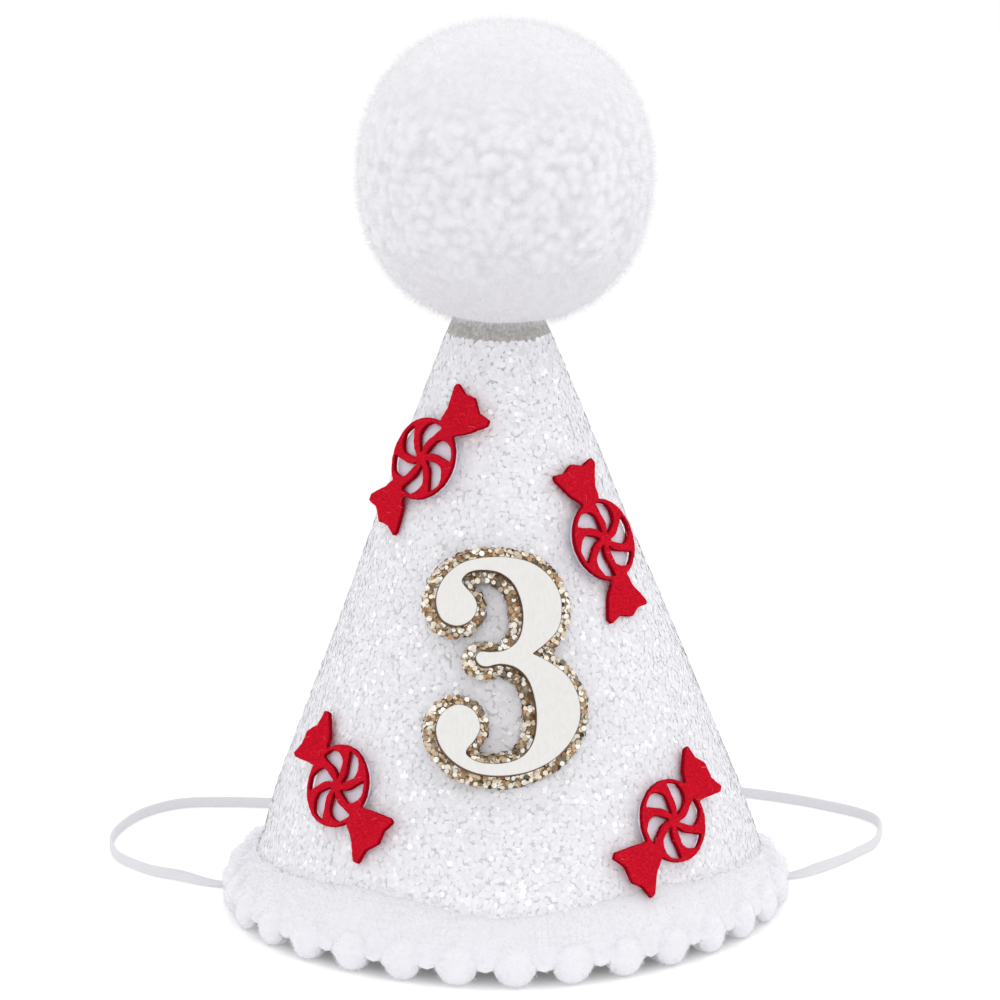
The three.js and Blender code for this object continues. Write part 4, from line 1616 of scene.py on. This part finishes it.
@dataclass
class FeltCandy:
    """A wrapped candy of red felt over a white disc, glued to the cone."""

    name: str
    turn: float
    z: float
    axis: float
    curl: int
    radius: float = 7.25
    rim_width: float = 0.7
    hub_radius: float = 0.6
    widest: float = 0.62
    arms: int = 6
    arm_share: float = 0.31
    swirl: float = 0.62
    petal_end: float = 0.45
    petal_lean: float = 0.3
    rim_turn: float = 0.11
    felt: float = 1.0
    rounding: float = 0.12
    stiffness: float = 0.75
    disc_radius: float = 6.8
    disc: float = 0.6
    clearance: float = 0.3
    descent: float = 3.0
    voxel: float = 0.19
    tail: Sequence[tuple[float, float]] = (
        (6.97, 2.0), (9.8, 3.65), (12.6, 5.3), (13.5, 5.2), (13.3, 2.7), (14.3, 0.5), (13.2, -2.2),
        (13.9, -4.9), (12.9, -5.4), (9.9, -3.7), (6.97, -2.0),
    )
    seed: int = 0

    def _petal(self, order: int) -> np.ndarray:
        """Gives the edge of one opening between two arms."""
        rim = self.radius - self.rim_width
        pitch = FULL_TURN / self.arms
        half = pitch * (1 - self.arm_share) / 2
        reach = np.linspace(self.hub_radius, rim, 12)
        middle = (order + 0.5) * pitch + self.curl * (self.rim_turn + self.swirl * (reach / rim - 1))
        share = np.linspace(0, 1, len(reach))
        past = np.clip((share - self.widest) / (1 - self.widest), 0, 1)
        wide = half * np.clip(share / self.widest, 0, 1) ** 0.7
        before = middle - wide * (1 - (self.petal_end + self.petal_lean * self.curl) * past**2)
        after = middle + wide * (1 - (self.petal_end - self.petal_lean * self.curl) * past**2)
        end = np.linspace(before[-1], after[-1], 6)[1:-1]
        sides = np.concatenate([before, end, after[:0:-1]])
        radii = np.concatenate([reach, np.full(len(end), rim), reach[:0:-1]])
        return np.stack([radii * np.cos(sides), radii * np.sin(sides)], -1)

    def _outline(self) -> np.ndarray:
        """Gives the outer edge: two tails with softened corners and the round between them."""
        neck = math.atan2(self.tail[0][1], self.tail[0][0])
        tail = np.array(self.tail)[::-1]
        mids = (tail[:-1] + tail[1:]) / 2
        soft = [tail[:1]]
        for corner, before, after in zip(tail[1:-1], mids[:-1], mids[1:]):
            soft += [
                corner * 0.8 + before * 0.2,
                corner * 0.96 + (before + after) * 0.02,
                corner * 0.8 + after * 0.2,
            ]
        tail = np.vstack([*soft, tail[-1:]])
        parts = []
        for turn in (0, math.pi):
            spin = np.array([[math.cos(turn), math.sin(turn)], [-math.sin(turn), math.cos(turn)]])
            parts.append(tail @ spin)
            angles = turn + neck + (math.pi - 2 * neck) * np.arange(1, 24) / 24
            parts.append(self.radius * np.stack([np.cos(angles), np.sin(angles)], -1))
        return np.vstack(parts)

    def _flat_felt(self) -> bpy.types.Object:
        """Cuts the felt flat, with its thickness and soft edges, as a mesh at the origin."""
        curve = bpy.data.curves.new(f"{self.name}_cut", "CURVE")
        curve.dimensions = "2D"
        curve.fill_mode = "BOTH"
        curve.extrude = (self.felt / 2 - self.rounding) * MM
        curve.bevel_depth = self.rounding * MM
        curve.bevel_resolution = 1
        curve.offset = -self.rounding * MM
        for line in (self._outline(), *(self._petal(order) for order in range(self.arms))):
            spline = curve.splines.new("POLY")
            spline.points.add(len(line) - 1)
            spots = np.column_stack([line * MM, np.zeros(len(line)), np.ones(len(line))])
            spline.points.foreach_set("co", spots.ravel())
            spline.use_cyclic_u = True
        cut = bpy.data.objects.new(curve.name, curve)
        bpy.context.scene.collection.objects.link(cut)
        depsgraph = bpy.context.evaluated_depsgraph_get()
        mesh = bpy.data.meshes.new_from_object(cut.evaluated_get(depsgraph), depsgraph=depsgraph)
        bpy.data.objects.remove(cut)
        bpy.data.curves.remove(curve)
        made = bpy.data.objects.new(f"{self.name}_red_felt", mesh)
        mesh.name = made.name
        bpy.context.scene.collection.objects.link(made)
        remesh = made.modifiers.new("felted", "REMESH")
        remesh.mode = "VOXEL"
        remesh.voxel_size = self.voxel * MM
        settle(made)
        return made

    def _lift(self, flat: np.ndarray) -> np.ndarray:
        """How high the felt's underside lies over the cone: over the disc, and down at the tails."""
        reach = np.hypot(flat[:, 0], flat[:, 1])
        down = smooth_step(reach, self.radius, self.radius + self.descent)
        return self.clearance + (1 - down) * (self.disc + self.clearance)

    def red_felt(self) -> bpy.types.Object:
        """Builds the cut felt, with its uneven nap, laid over the disc."""
        made = self._flat_felt()
        flat = points_of(made.data)
        normals = np.array([vertex.normal for vertex in made.data.vertices])
        cut = smooth_step(1 - np.abs(normals[:, 2]), 0.1, 0.55)
        uneven = ripple(flat, 0.9, self.seed) * 0.06 + ripple(flat, 3.2, self.seed + 4) * 0.07
        flat = flat + normals * uneven[:, None]
        height = flat[:, 2] + self.felt / 2 + self._lift(flat)
        laid = CONE.lay(flat[:, :2], height, self.turn, self.z, self.axis, self.stiffness)
        set_points(made.data, laid)
        edge = made.data.attributes.new("cut", "FLOAT", "POINT")
        edge.data.foreach_set("value", cut.astype(np.float32))
        made.data.shade_smooth()
        made.data.materials.clear()
        return hand_over(made, "red_felt", f"{self.name}_felt", finishes=[FeltFinish()])

    def nap(self, felt: bpy.types.Object) -> None:
        """Grows short fibres on the felt, and a few pale strays."""
        red = FibreFinish("red_fibres", (0.50, 0.005, 0.016), (0.86, 0.014, 0.036))
        pale = FibreFinish("pale_fibres", (0.85, 0.14, 0.17), (0.88, 0.42, 0.44))
        short = Scatter(5.0, 71 + self.seed, Spread.LOOSE, smallest=0.5, largest=1.1, tilt=1.45)
        stray = Scatter(0.1, 81 + self.seed, Spread.LOOSE, smallest=0.6, largest=1.3, tilt=1.4)
        layers = (("nap", short, 0.5, 0.045, red), ("strays", stray, 1.0, 0.035, pale))
        for label, scatter, length, width, finish in layers:
            surface = bpy.data.objects.new(f"{self.name}_{label}", felt.data.copy())
            surface.data.materials.clear()
            bpy.context.scene.collection.objects.link(surface)
            scatter.over(surface, Fibre(length, width, (-0.9, 0.5, 1.1)).shapes(label), finish)
            hand_over(surface, "red_felt")

    def white_disc(self) -> bpy.types.Object:
        """Builds the disc under the openings, with a soft edge."""
        rings = [(0.02, 0.0), (0.5, 0.0), (0.93, 0.0), (1.0, 0.2), (1.0, 0.75), (0.97, 1.0)]
        rings += [(share, 1.0) for share in (0.85, 0.65, 0.45, 0.25, 0.02)]
        turns = np.linspace(0, FULL_TURN, 72, endpoint=False)
        flat, height = [], []
        for share, up in rings:
            radius = self.disc_radius * share
            flat.append(np.stack([radius * np.cos(turns), radius * np.sin(turns)], -1))
            height.append(np.full(len(turns), self.clearance + self.disc * up))
        flat = np.vstack(flat)
        height = np.concatenate(height)
        points = CONE.lay(flat, height, self.turn, self.z, self.axis, self.stiffness)
        count = len(turns)
        faces = band(len(rings), count)
        faces.append(tuple(range(count)))
        faces.append(tuple(range((len(rings) - 1) * count, len(rings) * count)))
        colours = ((0.83, 0.80, 0.89), (0.76, 0.73, 0.82), (0.68, 0.65, 0.74))
        finish = FeltFinish("pressed_white_felt", *colours, relief=0.04, sheen=0.1)
        made = add_mesh(f"{self.name}_white_disc", points, faces, values={"cut": 0 * height})
        return hand_over(made, "white_felt", f"{self.name}_disc", finishes=[finish])

    def build(self) -> None:
        """Builds the disc, the felt and its nap."""
        self.white_disc()
        self.nap(self.red_felt())


@dataclass
class Studio:
    """White floor, soft lights and the camera."""

    target: tuple[float, float, float] = (-0.4, 0.0, 72.8)
    distance: float = 800.0
    pitch: float = 0.237
    lens: float = 162.9
    floor: float = 6000.0
    world: float = 1.14

    def camera(self) -> None:
        """Places the camera in front of the hat, looking a little down."""
        data = bpy.data.cameras.new("camera")
        data.sensor_width = 36
        data.lens = self.lens
        data.clip_start = 0.01
        data.clip_end = 100
        data.dof.use_dof = False
        made = bpy.data.objects.new("camera", data)
        bpy.context.scene.collection.objects.link(made)
        back = Vector((0, -math.cos(self.pitch), math.sin(self.pitch)))
        made.location = (Vector(self.target) + back * self.distance) * MM
        made.rotation_euler = back.to_track_quat("Z", "Y").to_euler()
        bpy.context.scene.camera = made

    def light(self, name: str, place: tuple[float, float, float], size: float, power: float) -> None:
        """Adds a square soft light that faces the hat."""
        data = bpy.data.lights.new(name, "AREA")
        data.shape = "SQUARE"
        data.size = size * MM
        data.energy = power
        made = bpy.data.objects.new(name, data)
        bpy.context.scene.collection.objects.link(made)
        made.location = Vector(place) * MM
        aim = Vector(place) - Vector((0, 0, 70))
        made.rotation_euler = aim.to_track_quat("Z", "Y").to_euler()

    def build(self) -> None:
        """Sets the stage."""
        half = self.floor / 2
        corners = np.array([(-half, -half, 0), (half, -half, 0), (half, half, 0), (-half, half, 0)])
        ground = add_mesh("floor", corners, [(0, 1, 2, 3)], closed=False)
        ground.data.materials.append(FloorFinish().material())
        scene = bpy.context.scene
        scene.world = bpy.data.worlds.new("studio")
        scene.world.use_nodes = True
        background = scene.world.node_tree.nodes["Background"]
        background.inputs["Color"].default_value = (1, 1, 1, 1)
        background.inputs["Strength"].default_value = self.world
        scene.view_settings.view_transform = "Standard"
        self.light("top_light", (350, -400, 1500), 900, 1.6)
        self.light("right_light", (1100, -1100, 700), 500, 0.8)


CANDIES = (
    FeltCandy("candy_1", turn=-0.8, z=82.7, axis=1.01, curl=-1, seed=1),
    FeltCandy("candy_2", turn=0.838, z=69.0, axis=1.685, curl=1, seed=2),
    FeltCandy("candy_3", turn=-0.807, z=27.95, axis=2.555, curl=1, seed=3),
    FeltCandy("candy_4", turn=0.751, z=22.7, axis=0.575, curl=1, seed=4),
)


def main() -> None:
    """Builds the camera and the cord first, then the rest of the hat."""
    logging.basicConfig(level=logging.INFO, format="%(message)s")
    studio = Studio()
    studio.camera()
    ChinElastic().build()
    GlitterCone().build()
    Pompom().build()
    BallFringe().build()
    Numeral().build()
    for candy in CANDIES:
        candy.build()
    studio.build()


if __name__ == "__main__":
    main()
